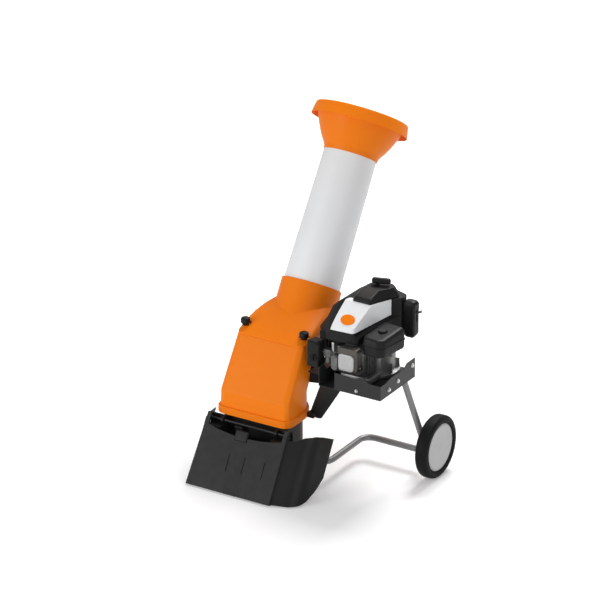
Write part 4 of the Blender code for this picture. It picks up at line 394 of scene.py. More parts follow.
# Chassis: two bent steel tubes with a silver-grey powder coat, and the axles in their legs.
# The right one swings out under the engine; the left one stays close to the housing.
# The coat has a faint orange peel.
TUBE_PAINT = surface("grey_powder_coat", [(0.19, 0.19, 0.19), (0.24, 0.24, 0.24)], patches=(14.0, 2.0),
                     dulling=(60.0, 0.30, 0.14), grain=(420.0, 2.0, 0.12, 0.0006), metallic=0.35)


def bare_steel():
    """Drawn steel, finely scratched along its length and a little duller in patches."""
    finish = Finish("bare_steel")
    finish.set("Metallic", 1.0)
    scratches = finish.noise(90.0, 4.0, (1.0, 1.0, 14.0))
    finish.set("Base Color", finish.blend(finish.noise(22.0), (0.40, 0.40, 0.40), (0.58, 0.58, 0.57)))
    finish.set("Roughness", scratches * 0.24 + 0.20)
    finish.grain(scratches, 0.10, 0.0004)
    return finish


STEEL = bare_steel()
for hand in ("left", "right"):
    softened(f"{hand}_chassis_tube", f"{hand}_leg_and_rail", TUBE_PAINT, 0.0, crease=40.0)
    softened(f"{hand}_axle", f"{hand}_wheel_axle", STEEL, 0.0006)


# Base: the black moulded discharge chamber that stands on two rubber feet.
# The deflector flap hangs in front of its outlet on a thin black rod.
# The plastic has a spark-eroded grain; the black coat on steel has a fine orange peel.
# The black's large lighter and darker patches are partly the moulding's own uneven tone and partly painted
# sheen, standing in for the soft gradient of its gloss.
BLACK = surface("black_plastic", [(0.002, 0.0024, 0.0024), (0.012, 0.0125, 0.012)], patches=(4.0, 2.0),
                dulling=(40.0, 0.40, 0.14), grain=(1100.0, 3.0, 0.20, 0.0005), specular=0.22)
BLACK_STEEL = surface("black_powder_coat", [(0.012, 0.0125, 0.013), (0.019, 0.020, 0.021)],
                      patches=(12.0, 2.0), dulling=(80.0, 0.34, 0.14),
                      grain=(380.0, 2.0, 0.16, 0.0006), specular=0.35)
softened("discharge_base", "discharge_chamber", BLACK, 0.0012)
for hand in ("left", "right"):
    softened(f"{hand}_foot", f"{hand}_rubber_foot", RUBBER, 0.0020, segments=3)
softened("flap_rod", "flap_hinge_rod", BLACK_STEEL, 0.0006)


# Deflector flap: a black moulded panel that leans in front of the outlet between two wings.
# The wings fold back, the right one wide with a round rear corner, and end in ears for the rod.
# Three short grooves are pressed into the panel.
FLAP_TOE = Vector((-0.168, -0.564, 0.006))
FLAP_LEAN = math.radians(30.2)
FLAP_HALF = 0.1855
FLAP_WALL = 0.004
FLAP_PIVOT = Vector((-0.168, -0.402, 0.226))
EAR_TOP = 0.290
EAR_WIDTH = 0.015
ROD_RADIUS = 0.004
PANEL_TOP = 0.2475
PANEL_DIP = 0.025
RIGHT_FOOT_LINE = ((0.006, 0.010), (0.098, 0.035), (0.118, 0.165))
LEFT_FOOT_LINE = ((0.078, 0.214),)
WING_ROUND = 0.070
RIGHT_TOPS = ((0.0, 0.262), (0.016, 0.250), (0.042, 0.253), (0.073, 0.270), (0.115, 0.271), (0.155, 0.257),
              (0.230, 0.2245))
LEFT_TOPS = ((0.0, 0.275), (0.060, 0.262), (0.230, 0.204))
WING_FEET = ((0.0, 0.0), (0.115, 0.0), (0.155, 0.006), (0.200, 0.034), (0.230, 0.075))
WING_STEP = 0.012
LEFT_TAPER = 0.014
GROOVES = (-0.032, 0.037, 0.125)
GROOVE_HALF = 0.0026
GROOVE_ENDS = (0.086, 0.152)
CATCH = ((-0.032, -0.007, 0.206), (0.024, 0.004, 0.248))
EAR_LOW = 0.205
EAR_HIGH = 0.268
LUG_PLACE = 0.010
LUG_HALF = 0.002
PANEL_STEPS = 12
FIT = 0.0003


def bent_line(points, radius, steps=5):
    """A run of points with each inner corner rounded."""
    points = [Vector(point) for point in points]
    line = [points[0]]
    for before, corner, after in zip(points, points[1:], points[2:]):
        back, on = (before - corner).normalized(), (after - corner).normalized()
        half = back.angle(on) / 2
        centre = corner + (back + on).normalized() * radius / math.sin(half)
        start = corner + back * radius / math.tan(half) - centre
        end = corner + on * radius / math.tan(half) - centre
        turn = start.rotation_difference(end)
        for i in range(steps + 1):
            line.append(centre + Matrix.Rotation(turn.angle * i / steps, 3, turn.axis) @ start)
    line.append(points[-1])
    return line


def pick(piece, points):
    """Selects the vertices of a piece that lie at the given points."""
    tree = KDTree(len(points))
    for i, point in enumerate(points):
        tree.insert(point, i)
    tree.balance()
    bpy.ops.mesh.select_all(action="DESELECT")
    bpy.ops.object.mode_set(mode="OBJECT")
    for vertex in piece.data.vertices:
        vertex.select = tree.find(vertex.co)[2] < FINE
    bpy.ops.object.mode_set(mode="EDIT")


def skinned(name, lines, place=Matrix(), closed=True, capped=True, looped=False):
    """A skin over outlines: each is drawn as a run of extruded edges and bridged to the next."""
    bpy.ops.object.select_all(action="DESELECT")
    bpy.ops.mesh.primitive_plane_add(size=0.001, location=(0.0, 0.0, 0.0))
    piece = bpy.context.object
    piece.name = name
    lines = [[Vector(point) for point in line] for line in lines]
    opened(piece)
    for i, line in enumerate(lines):
        if i > 0:
            bpy.ops.mesh.select_all(action="DESELECT")
            bpy.ops.mesh.primitive_plane_add(size=0.001, location=(0.0, 0.0, 0.0))
        draw_line(line, closed)
    bpy.ops.mesh.select_all(action="SELECT")
    bpy.ops.mesh.remove_doubles(threshold=FINE)
    for below, above in zip(lines, lines[1:] + lines[:1] if looped else lines[1:]):
        pick(piece, below + above)
        bpy.ops.mesh.bridge_edge_loops()
    if capped:
        for line in (lines[0], lines[-1]):
            pick(piece, line)
            bpy.ops.mesh.edge_face_add()
    faced_out()
    return settled(piece, place)


def bar(name, radius, low, high, place=Matrix(), count=64, bore=0.0):
    """A round bar, solid or bored through."""
    return turned(name, [(bore, low), (radius, low), (radius, high), (bore, high)], place, count)


def cut(piece, tool, operation="DIFFERENCE"):
    """Works a tool's shape out of a piece and clears the tool away."""
    boolean = piece.modifiers.new("cut", "BOOLEAN")
    boolean.operation = operation
    boolean.object = tool
    only(piece)
    bpy.ops.object.modifier_apply(modifier=boolean.name)
    bpy.data.objects.remove(tool)


def joined(piece, *others):
    """Joins pieces of one moulding into the first."""
    only(piece, *others)
    bpy.ops.object.join()


def block(name, low, high, edge=0.0, place=Matrix(), segments=3):
    """A moulded block between two corners, its edges rounded."""
    low, high = Vector(low), Vector(high)
    bpy.ops.object.select_all(action="DESELECT")
    bpy.ops.mesh.primitive_cube_add(size=1.0, location=(low + high) / 2, scale=high - low)
    piece = bpy.context.object
    piece.name = name
    bpy.ops.object.transform_apply()
    if edge > 0:
        opened(piece)
        bpy.ops.mesh.bevel(offset=edge, segments=segments, affect="EDGES")
        bpy.ops.object.mode_set(mode="OBJECT")
    return settled(piece, place)


def read_table(table, distance):
    """Reads a table of (distance, value) pairs by straight interpolation."""
    for (start, first), (end, last) in zip(table, table[1:]):
        if distance <= end:
            return first + (last - first) * (distance - start) / (end - start)
    return table[-1][1]


def wing_columns(side, foot_line, tops):
    """Columns of a wing as (point of its foot line, foot height, top height), from the fold back."""
    fold = Vector((side * FLAP_HALF, 0.0, 0.0))
    corners = [fold + Vector((side * out, back, 0.0)) for out, back in foot_line]
    path = [fold, *bent_line(corners, WING_ROUND, 8)] if len(corners) > 2 else [fold, *corners]
    columns = [(fold, 0.0, EAR_TOP)]
    travelled = 0.0
    for start, end in zip(path, path[1:]):
        length = (end - start).length
        parts = max(1, round(length / WING_STEP))
        for i in range(1, parts + 1):
            distance = travelled + length * i / parts
            columns.append((start.lerp(end, i / parts), read_table(WING_FEET, distance),
                            read_table(tops, distance)))
        travelled += length
    return columns


ear = FLAP_HALF - EAR_WIDTH
panel = [(ear - 0.0005, EAR_TOP)]
for i in range(PANEL_STEPS + 1):
    across = ear * (0.985 - 1.97 * i / PANEL_STEPS)
    panel.append((across, PANEL_TOP - PANEL_DIP * (1 - (across / FLAP_HALF) ** 2)))
panel.append((0.0005 - ear, EAR_TOP))
columns = list(reversed(wing_columns(1, RIGHT_FOOT_LINE, RIGHT_TOPS)))
columns += [(Vector((across, 0.0, 0.0)), 0.0, top) for across, top in panel]
columns += wing_columns(-1, LEFT_FOOT_LINE, LEFT_TOPS)
upward = Vector((0.0, math.sin(FLAP_LEAN), math.cos(FLAP_LEAN)))
rows = []
for share in (0.0, 0.33, 0.67, 1.0):
    row = []
    for point, low, high in columns:
        height = low + (high - low) * share
        drawn_in = LEFT_TAPER * height / EAR_TOP * max(0.0, -point.x / FLAP_HALF)
        row.append(FLAP_TOE + point + Vector((drawn_in, 0.0, 0.0)) + upward * height)
    rows.append(row)
flap = skinned("deflector", rows, closed=False, capped=False)
wall = flap.modifiers.new("wall", "SOLIDIFY")
wall.thickness = FLAP_WALL
wall.offset = 0.0
wall.use_even_offset = True
bpy.ops.object.modifier_apply(modifier=wall.name)
leaning = Matrix.Translation(FLAP_TOE) @ Matrix.Rotation(-FLAP_LEAN, 4, "X")
for x in GROOVES:
    cut(flap, block("groove", (x - GROOVE_HALF, -FLAP_WALL, GROOVE_ENDS[0]),
                    (x + GROOVE_HALF, 0.0005, GROOVE_ENDS[1]), place=leaning))
eased(flap, 0.0007)
low_point = FLAP_TOE + upward * EAR_LOW
high_point = FLAP_TOE + upward * EAR_HIGH
ear_round = arc_points((FLAP_PIVOT.y, FLAP_PIVOT.z), ROD_RADIUS + 0.007, -70, 100, 12)
ear_outline = [(low_point.y, low_point.z), *ear_round, (high_point.y, high_point.z)]
rod_line = Matrix.Translation(FLAP_PIVOT) @ Matrix.Rotation(math.pi / 2, 4, "Y")
for side in (-1, 1):
    x = FLAP_PIVOT.x + side * (FLAP_HALF - LUG_PLACE)
    lug = skinned("lug", [[(x + step, y, z) for y, z in ear_outline] for step in (-LUG_HALF, LUG_HALF)])
    cut(lug, bar("bore", ROD_RADIUS + FIT, -0.2, 0.2, rod_line, 24))
    joined(flap, lug)
joined(flap, block("catch", *CATCH, 0.0045, leaning))
finish_piece(flap, BLACK, ["deflector_flap"])


# Cheeks: two black ribs beside the outlet fill the gap between chamber and flap, dark sheets that stand
# in for the shade inside the outlet. Each has a shelf in front of it, just under the rod.
CHEEK_START = 0.112
CHEEK_REACH = 0.184
CHEEK_FRONT = -0.3875
CHEEK_WALL = 0.003
CHEEK_FOOT = 0.105
CHEEK_TOP = 0.240
SHELF_REACH = 0.1695
SHELF_FRONT = -0.434
SHELF_TOP = 0.2075
for side, hand in SIDES:
    near, far = sorted(FLAP_PIVOT.x + side * reach for reach in (CHEEK_START, CHEEK_REACH))
    # A black rib set where the outlet's inside lies in shade: painted shade as a dark sheet.
    cheek = block(f"{hand}_outlet_shade_rib", (near, CHEEK_FRONT, CHEEK_FOOT),
                  (far, CHEEK_FRONT + CHEEK_WALL, CHEEK_TOP), 0.001)
    near, far = sorted(FLAP_PIVOT.x + side * reach for reach in (CHEEK_START, SHELF_REACH))
    joined(cheek, block("shelf", (near, SHELF_FRONT, SHELF_TOP - CHEEK_WALL),
                        (far, CHEEK_FRONT + CHEEK_WALL / 2, SHELF_TOP), 0.001))
    bpy.ops.object.shade_smooth_by_angle(angle=math.radians(30))
    cheek.data.materials.append(BLACK.material)
    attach(cheek, "machine")


# Cutter housing: an orange moulding, smooth and softly glossy, that the tilting hopper closes.
# Inside it the knife disc and its two knives turn on the upright steel shaft.
ORANGE = surface("orange_plastic", [(0.84, 0.185, 0.002), (0.90, 0.215, 0.003)], patches=(5.0, 2.0),
                 dulling=(30.0, 0.42, 0.10), grain=(260.0, 2.0, 0.06, 0.0006), specular=0.16)
softened("cutter_housing", "housing_shell", ORANGE, 0.0016, segments=3)
softened("hopper_hinge_pin", "hinge_pin", STEEL, 0.0006)
softened("chamber_floor", "chamber_plate", BLACK_STEEL, 0.0005)
softened("knife_disc", "cutting_disc", BLACK_STEEL, 0.0004)
for name in ("knife_1", "knife_2", "knife_shaft", "disc_nut", "shaft_bearing"):
    softened(name, name + "_part", STEEL, 0.0003)


# Hopper base: an orange moulding whose swollen shoulders rise from the housing to a round collar.
# Two pockets in its front corners hold the screw knobs, and a barrel at its back takes the pin.
BODY_X = -0.168
SPLIT_Z = 0.528
SPLIT_FRONT = -0.258
SPLIT_HALF = 0.150
SPLIT_DEPTH = 0.236
SPLIT_FLAT = 0.112
SPLIT_CORNER = 0.028
SHELL = 0.004
HOPPER_LEAN = math.radians(31.9)
COLLAR_TOP = Vector((BODY_X, 0.055, 0.645))
COLLAR_RADIUS = 0.1195
COLLAR_BACK = 0.060
COLLAR_SIDE = 0.071
COLLAR_FRONT = 0.130
COLLAR_EDGE = 0.0010
SHOULDER_BULGE = 0.013
FRONT_SHARE = 0.3
TUBE_SEAT = 0.045
TUBE_ROOM = 0.1128
TUBE_BORE = 0.1095
HINGE_Z = 0.518
PIN_BORE = 0.0053
BARREL_RADIUS = 0.011
BARREL_HALF = 0.0247
WEB_HALF = 0.0227
WEB_DEPTH = 0.008
WEB_HEIGHT = 0.012
KNOB_X = 0.131
KNOB_Y = -0.218
KNOB_Z = 0.550
KNOB_RADIUS = 0.020
KNOB_SPACE = 0.0035
STUD_RADIUS = 0.004
hopper_axis = Matrix.Translation(COLLAR_TOP) @ Matrix.Rotation(-HOPPER_LEAN, 4, "X")
hinge_low, hinge_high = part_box("hopper_hinge_pin")
hinge_y = (hinge_low[1] + hinge_high[1]) / 2


def split_outline(inset):
    """The housing's level outline at the split: flat front, round corners and a half-round back."""
    half, front = SPLIT_HALF - inset, SPLIT_FRONT + inset
    middle, back = SPLIT_FRONT + SPLIT_FLAT, SPLIT_FRONT + SPLIT_DEPTH - inset
    corner = max(SPLIT_CORNER - inset, 0.004)
    side = [((half - corner) * step / 6, front) for step in range(1, 6)]
    side += arc_points((half - corner, front + corner), corner, -90, 0, 6)
    side += [(half, front + corner + (middle - front - corner) * step / 5) for step in range(1, 5)]
    side += [(half * math.cos(turn), middle + (back - middle) * math.sin(turn))
             for turn in [math.pi * i / 28 for i in range(14)]]
    outline = [(0.0, front), *side, (0.0, back)] + [(-x, y) for x, y in reversed(side)]
    return [(BODY_X + x, y) for x, y in outline]


rim, mouth = split_outline(0.0), split_outline(SHELL)
turns = [2 * math.pi * i / len(rim) - math.pi / 2 for i in range(len(rim))]


def collar_ring(radius, heights):
    """A ring about the leaning axis, its height given for each turn."""
    return [hopper_axis @ Vector((radius * math.cos(turn), radius * math.sin(turn), height))
            for turn, height in zip(turns, heights)]


def collar_foot(radius, back, side, front):
    """Where the shoulders meet the collar, lowest at the front."""
    reaches = [front if math.sin(turn) < 0 else back for turn in turns]
    return collar_ring(radius, [-side - (reach - side) * math.sin(turn) ** 2
                                for turn, reach in zip(turns, reaches)])


def shoulders(foot, edge, steps=4):
    """Rings down the shoulders between the collar's foot and the rim, swollen at the two sides."""
    rings = []
    for i in range(1, steps):
        share = i / steps
        ring = []
        for turn, high, low in zip(turns, foot, edge):
            push = SHOULDER_BULGE * (math.cos(turn) ** 2 + FRONT_SHARE * max(0.0, -math.sin(turn)))
            out = Vector((math.cos(turn), FRONT_SHARE * math.sin(turn), 0.6)).normalized()
            ring.append(Vector(high).lerp(Vector(low), 1 - share) + out * push * 4 * share * (1 - share))
        rings.append(ring)
    return rings


def level(outline, height):
    return [(x, y, height) for x, y in outline]


rim_low = SPLIT_Z + FIT
foot = collar_foot(COLLAR_RADIUS, COLLAR_BACK, COLLAR_SIDE, COLLAR_FRONT)
edge = level(rim, rim_low + 0.006)
hopper = skinned("hopper_body", [level(rim, rim_low), edge, *shoulders(foot, edge), foot,
                                 collar_ring(COLLAR_RADIUS, [-COLLAR_EDGE] * len(turns)),
                                 collar_ring(COLLAR_RADIUS - COLLAR_EDGE, [0.0] * len(turns))])
seat = -TUBE_SEAT - FIT
inner_foot = collar_foot(TUBE_BORE, 0.010 - seat, COLLAR_SIDE - 0.007, COLLAR_FRONT + 0.002)
inner_edge = [(x, y, rim_low + 0.002 + 0.008 * (y - SPLIT_FRONT) / SPLIT_DEPTH) for x, y in mouth]
cavity = skinned("cavity", [level(mouth, rim_low - 0.01), inner_edge, *shoulders(inner_foot, inner_edge),
                            inner_foot, collar_ring(TUBE_BORE, [seat] * len(turns)),
                            collar_ring(TUBE_ROOM, [seat] * len(turns)),
                            collar_ring(TUBE_ROOM, [0.01] * len(turns))])
pockets = []
for side in (-1, 1):
    upright = Matrix.Translation((BODY_X + side * KNOB_X, KNOB_Y, 0.0))
    space = KNOB_RADIUS + KNOB_SPACE
    cut(cavity, bar("pocket_wall", space + SHELL, rim_low - 0.02, KNOB_Z + 0.07, upright, 48))
    pockets.append(bar("pocket", space, KNOB_Z, KNOB_Z + 0.08, upright))
    pockets.append(bar("stud_room", STUD_RADIUS + FIT, rim_low - 0.01, KNOB_Z + 0.002, upright, 24))
cut(hopper, cavity)
for tool in pockets:
    cut(hopper, tool)
hinge_line = Matrix.Translation((BODY_X, hinge_y, HINGE_Z)) @ Matrix.Rotation(math.pi / 2, 4, "Y")
barrel = bar("barrel", BARREL_RADIUS, -BARREL_HALF, BARREL_HALF, hinge_line, 32, PIN_BORE)
web = block("web", (BODY_X - WEB_HALF, hinge_y - WEB_DEPTH, rim_low),
            (BODY_X + WEB_HALF, hinge_y + WEB_DEPTH, rim_low + WEB_HEIGHT))
joined(hopper, barrel, web)
eased(hopper, 0.0010, limit=40.0)
finish_piece(hopper, ORANGE, ["hopper_base"], crease=40.0)


# Screw knobs: black lobed knobs in pockets of the hopper base's front corners.
# They hold the hopper down and are undone to tilt it back.
KNOB_HEIGHT = 0.031
KNOB_LOBES = 6
STUD_LENGTH = 0.029
KNOB_WAVE = 0.045
KNOB_FORM = ((0.50, 0.0, 0.0), (0.64, 0.0, 0.0), (0.70, 0.16, 0.01), (0.93, 0.32, 0.03),
             (1.0, 0.46, KNOB_WAVE), (1.0, 0.66, KNOB_WAVE), (0.93, 0.82, 0.04), (0.74, 0.94, 0.03),
             (0.45, 1.0, 0.01))
knob_count = KNOB_LOBES * 8


def lobed_ring(radius, height, wave):
    """A ring with shallow lobes."""
    ring = []
    for i in range(knob_count):
        turn = 2 * math.pi * i / knob_count
        reach = radius * (1 + wave * math.cos(KNOB_LOBES * turn))
        ring.append((reach * math.cos(turn), reach * math.sin(turn), height))
    return ring


crown = KNOB_RADIUS / (1 + KNOB_WAVE)
knob_rings = [lobed_ring(crown * share, max(FIT, KNOB_HEIGHT * rise), wave)
              for share, rise, wave in KNOB_FORM]
for side, hand in SIDES:
    place = Matrix.Translation((BODY_X + side * KNOB_X, KNOB_Y, KNOB_Z))
    knob = skinned(f"{hand}_hopper_knob", knob_rings, place)
    joined(knob, bar("stud", STUD_RADIUS, -STUD_LENGTH, 0.002, place, 24))
    finish_piece(knob, BLACK, [f"{hand}_screw_knob"], crease=50.0)


# Feed tube: a white plastic tube, a little narrower at its top, that stands in the collar.
# Its surface is plain and softly glossy.
TUBE_FOOT_RADIUS = 0.1121
TUBE_TOP_RADIUS = 0.1050
TUBE_WALL = 0.003
TUBE_START = -0.0448
TUBE_END = 0.542
TUBE_LEAN = math.radians(1.1)
tube_axis = hopper_axis @ Matrix.Rotation(-TUBE_LEAN, 4, "X")

WHITE = surface("white_plastic", [(0.80, 0.81, 0.82), (0.86, 0.87, 0.88)], patches=(6.0, 2.0),
                dulling=(25.0, 0.34, 0.10), grain=(240.0, 2.0, 0.05, 0.0005))
bore = TUBE_TOP_RADIUS - TUBE_WALL
profile = [(TUBE_FOOT_RADIUS - 0.0012, TUBE_START), (TUBE_FOOT_RADIUS - 0.0002, TUBE_START + 0.001),
           (TUBE_FOOT_RADIUS, 0.010), (TUBE_TOP_RADIUS, TUBE_END - 0.0008),
           (TUBE_TOP_RADIUS - 0.0008, TUBE_END), (bore + 0.0008, TUBE_END), (bore, TUBE_END - 0.0008),
           (TUBE_FOOT_RADIUS - TUBE_WALL, 0.010), (TUBE_FOOT_RADIUS - TUBE_WALL, TUBE_START)]
tube = turned("white_tube", profile, tube_axis, 128)
finish_piece(tube, WHITE, ["feed_tube"])


# Funnel: an orange moulding pushed over the tube, swelling like a bowl to a wide mouth.
# Its rim turns down in a deep collar that hands can grip.
FUNNEL_LOW = 0.520
FUNNEL_WALL = 0.004
RIM_RADIUS = 0.1835
RIM_FOOT_RADIUS = 0.1935
RIM_SKIRT = 0.050
RIM_RISE = 0.171
BOWL = ((0.0, 0.0020), (0.012, 0.0030), (0.024, 0.0090), (0.042, 0.0215), (0.063, 0.0335), (0.085, 0.0440),
        (0.107, 0.0535), (0.135, 0.0635), (0.162, 0.0715))

neck = TUBE_TOP_RADIUS + FIT + 0.0004
outside = [(neck + swell, FUNNEL_LOW + up) for up, swell in BOWL]
rim_top = FUNNEL_LOW + RIM_RISE
inside = [(max(radius - FUNNEL_WALL, bore), height + 0.001) for radius, height in outside[2:]]
profile = [(neck, FUNNEL_LOW + 0.0006), (neck + 0.0006, FUNNEL_LOW), *outside]
skirt_low = rim_top - RIM_SKIRT
profile += [(RIM_RADIUS - 0.004, rim_top - FUNNEL_WALL), (RIM_FOOT_RADIUS - 0.003, skirt_low + 0.0008),
            (RIM_FOOT_RADIUS - 0.0022, skirt_low), (RIM_FOOT_RADIUS - 0.0008, skirt_low),
            (RIM_FOOT_RADIUS, skirt_low + 0.0010), (RIM_RADIUS + 0.0022, rim_top - 0.006),
            (RIM_RADIUS + 0.0010, rim_top - 0.0025), (RIM_RADIUS - 0.0012, rim_top - 0.0005),
            (RIM_RADIUS - 0.0030, rim_top), (RIM_RADIUS - FUNNEL_WALL - 0.002, rim_top - 0.0008),
            (RIM_RADIUS - FUNNEL_WALL - 0.003, rim_top - 0.0030)]
profile += list(reversed(inside))
profile += [(bore, TUBE_END + FIT + 0.003), (bore, TUBE_END + FIT), (neck, TUBE_END + FIT)]
funnel = turned("hopper_funnel", profile, tube_axis, 128)
finish_piece(funnel, ORANGE, ["funnel"], crease=40.0)


# Engine deck: a folded black steel tray and the strip that ties it to the base.
# Bright flanged bolts hold its skirts.
DECK_CORNER = 0.060
DECK_SKIRT_BACK = -0.067
deck_low, deck_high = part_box("engine_deck")
deck = joined_copy("engine_deck", "deck_tray")
skirt_end = Vector((deck_high[0], DECK_SKIRT_BACK, 0.0))
across = Vector((-DECK_CORNER, deck_high[1] - DECK_SKIRT_BACK, 0.0)).normalized()
opened(deck)
bpy.ops.mesh.bisect(plane_co=skirt_end, plane_no=across.cross(Vector((0.0, 0.0, 1.0))), use_fill=True,
                    clear_outer=True)
bpy.ops.object.mode_set(mode="OBJECT")
eased(deck, 0.0006)
finish_piece(deck, BLACK_STEEL, ["engine_deck"])
softened("deck_gusset", "deck_strut", BLACK_STEEL, 0.0008)

BOLT_WASHER = 0.0086
BOLT_FLATS = 0.0072
BOLT_HEIGHT = 0.0052
WASHER_SHARE = 0.24
SIDE_BOLTS = ((-0.089, 0.486), (-0.1965, 0.464), (-0.264, 0.454))
FRONT_BOLT_INSET = 0.105
FRONT_BOLT_Z = 0.448
FRONT_BOLT_SHARE = 0.75
BOLT_SINK = 0.004

# The zinc plating is bright and faintly mottled.
ZINC = surface("zinc_plated_steel", [(0.66, 0.66, 0.64), (0.84, 0.84, 0.82)], patches=(160.0, 2.0),
               dulling=(220.0, 0.26, 0.20), grain=(800.0, 2.0, 0.10, 0.0003), metallic=1.0)


def flanged_bolt(name, place, body, share=1.0, turn=0.0):
    """A hexagon head on its washer, seen from outside."""
    flats, washer, height = BOLT_FLATS * share, BOLT_WASHER * share, BOLT_HEIGHT
    bpy.ops.object.select_all(action="DESELECT")
    bpy.ops.mesh.primitive_cylinder_add(vertices=6, radius=flats, depth=height,
                                        location=(0.0, 0.0, height / 2), rotation=(0.0, 0.0, turn))
    head = bpy.context.object
    bpy.ops.object.transform_apply()
    bpy.ops.object.mode_set(mode="EDIT")
    bpy.ops.mesh.select_all(action="DESELECT")
    bpy.ops.object.mode_set(mode="OBJECT")
    for face in head.data.polygons:
        face.select = face.normal.z > 0.9
    bpy.ops.object.mode_set(mode="EDIT")
    bpy.ops.mesh.inset(thickness=flats * 0.22)
    bpy.ops.transform.translate(value=(0.0, 0.0, height * 0.14))
    bpy.ops.object.mode_set(mode="OBJECT")
    bpy.ops.mesh.primitive_cylinder_add(vertices=24, radius=washer, depth=height * WASHER_SHARE,
                                        location=(0.0, 0.0, height * WASHER_SHARE / 2))
    bpy.ops.object.transform_apply()
    joined(head, bpy.context.object)
    head.name = name
    eased(head, height * 0.05)
    settled(head, place)
    bpy.ops.object.shade_smooth_by_angle(angle=math.radians(30))
    head.data.materials.append(ZINC.material)
    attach(head, body)


facing_right = Matrix.Rotation(math.pi / 2, 4, "Y")
facing_front = Matrix.Rotation(math.pi / 2, 4, "X")
deck_right, deck_front = deck_high[0] - BOLT_SINK, deck_low[1] + BOLT_SINK
for i, (y, z) in enumerate(SIDE_BOLTS):
    place = Matrix.Translation((deck_right, y, z)) @ facing_right
    flanged_bolt(f"deck_side_bolt_{i + 1}", place, "machine", turn=0.3 * i)
place = Matrix.Translation((deck_right - FRONT_BOLT_INSET, deck_front, FRONT_BOLT_Z)) @ facing_front
flanged_bolt("deck_front_bolt", place, "machine", FRONT_BOLT_SHARE, 0.2)


# Engine: a single-cylinder petrol engine with an upright shaft under a moulded cowl.
# Crankcase, barrel, head and carburettor are die-cast aluminium. The barrel, head, rocker cover and
# carburettor take a darker copy of it, painted shade under the cowl. The muffler's sheet steel is browned by
# heat.
ENGINE_SEAT = (0.200, -0.091, 0.4333)
engine_place = Matrix.Translation(ENGINE_SEAT) @ Matrix.Rotation(-math.pi / 2, 4, "Z")
CAST = surface("cast_aluminium", [(0.16, 0.16, 0.158), (0.46, 0.46, 0.45)], patches=(28.0, 3.0),
               dulling=(120.0, 0.38, 0.22), grain=(900.0, 3.0, 0.30, 0.0006), metallic=0.85)
# A darker copy of the cast aluminium's colours: painted shade for the parts that sit under the cowl.
SHADED_CAST = surface("painted_shade_aluminium", [(0.035, 0.035, 0.034), (0.30, 0.30, 0.29)], patches=(40.0, 4.0),
                dulling=(120.0, 0.40, 0.22), grain=(700.0, 3.0, 0.35, 0.0006), metallic=0.8)
HEAT_STAINED = surface("heat_stained_steel", [(0.050, 0.046, 0.042), (0.16, 0.145, 0.13)],
                       patches=(26.0, 3.0), dulling=(90.0, 0.42, 0.20),
                       grain=(500.0, 3.0, 0.25, 0.0005), metallic=0.8)
for name, finish, width in (("crankcase", CAST, 0.0009), ("drive_pulley", CAST, 0.0005),
                            ("driven_pulley", CAST, 0.0005), ("cylinder", SHADED_CAST, 0.0006),
                            ("cylinder_head", SHADED_CAST, 0.0010), ("rocker_cover", SHADED_CAST, 0.0014),
                            ("carburettor", SHADED_CAST, 0.0008)):
    softened(name, name + "_casting", finish, width)
softened("muffler", "muffler_box", HEAT_STAINED, 0.0012)
softened("crankshaft", "engine_shaft", STEEL, 0.0005)
softened("control_lever", "throttle_lever_blade", STEEL, 0.0004)

BOOT_PLACE = (0.1710, -0.079, 0.1203)
BOOT_TILT = 0.10
BOOT_FORM = ((0.0, 0.0), (0.005, 0.0), (0.005, 0.006), (0.0075, 0.008), (0.0075, 0.036), (0.0065, 0.039),
             (0.0045, 0.041), (0.0, 0.041))
boot_place = engine_place @ Matrix.Translation(BOOT_PLACE) @ Matrix.Rotation(BOOT_TILT, 4, "Y")
boot = turned("plug_boot", BOOT_FORM, boot_place, 32)
finish_piece(boot, STEEL, ["spark_plug_boot"], crease=50.0)
softened("v_belt", "drive_belt", RUBBER, 0.0004)
softened("belt_guard", "belt_guard_moulding", BLACK, 0.0008)

FLYWHEEL_RADIUS = 0.063
flywheel = joined_copy("flywheel", "flywheel_casting")
low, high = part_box("flywheel")
shrink = 2 * FLYWHEEL_RADIUS / (high[0] - low[0])
middle = (Vector(low) + Vector(high)) / 2
opened(flywheel)
bpy.ops.transform.resize(value=(shrink, shrink, 1.0), center_override=middle)
bpy.ops.object.mode_set(mode="OBJECT")
eased(flywheel, 0.0005)
finish_piece(flywheel, CAST, ["flywheel"])


# Muffler guard: a plain pressed plate with round corners on the front of the engine.
# It is pale steel with a satin skin.
GUARD_CORNER = 0.016
GUARD_TOP_DROP = 0.010
GUARD_BULGE = 0.004
low, high = (Vector(corner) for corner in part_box("muffler_shield"))
high.z -= GUARD_TOP_DROP
front, back = low.y - GUARD_BULGE, high.y
left, right, foot, top = (low.x + GUARD_CORNER, high.x - GUARD_CORNER,
                          low.z + GUARD_CORNER, high.z - GUARD_CORNER)
middles = [(left, foot), (right, foot), (right, top), (left, top)]
guard_rings = []
for y, inset in ((back, 0.0), (front + 0.0040, 0.0), (front + 0.0014, 0.0016), (front, 0.0050)):
    ring = []
    for middle, start in zip(middles, (180, 270, 0, 90)):
        ring += [(x, y, z) for x, z in arc_points(middle, GUARD_CORNER - inset, start, start + 90, 8)]
    guard_rings.append(ring)
guard = skinned("muffler_guard", guard_rings)
PRESSED_STEEL = surface("pressed_steel", [(0.42, 0.42, 0.42), (0.52, 0.52, 0.51)], patches=(24.0, 2.0),
                        dulling=(90.0, 0.40, 0.16), grain=(600.0, 2.0, 0.12, 0.0004), metallic=0.6)
finish_piece(guard, PRESSED_STEEL, ["muffler_shield"])


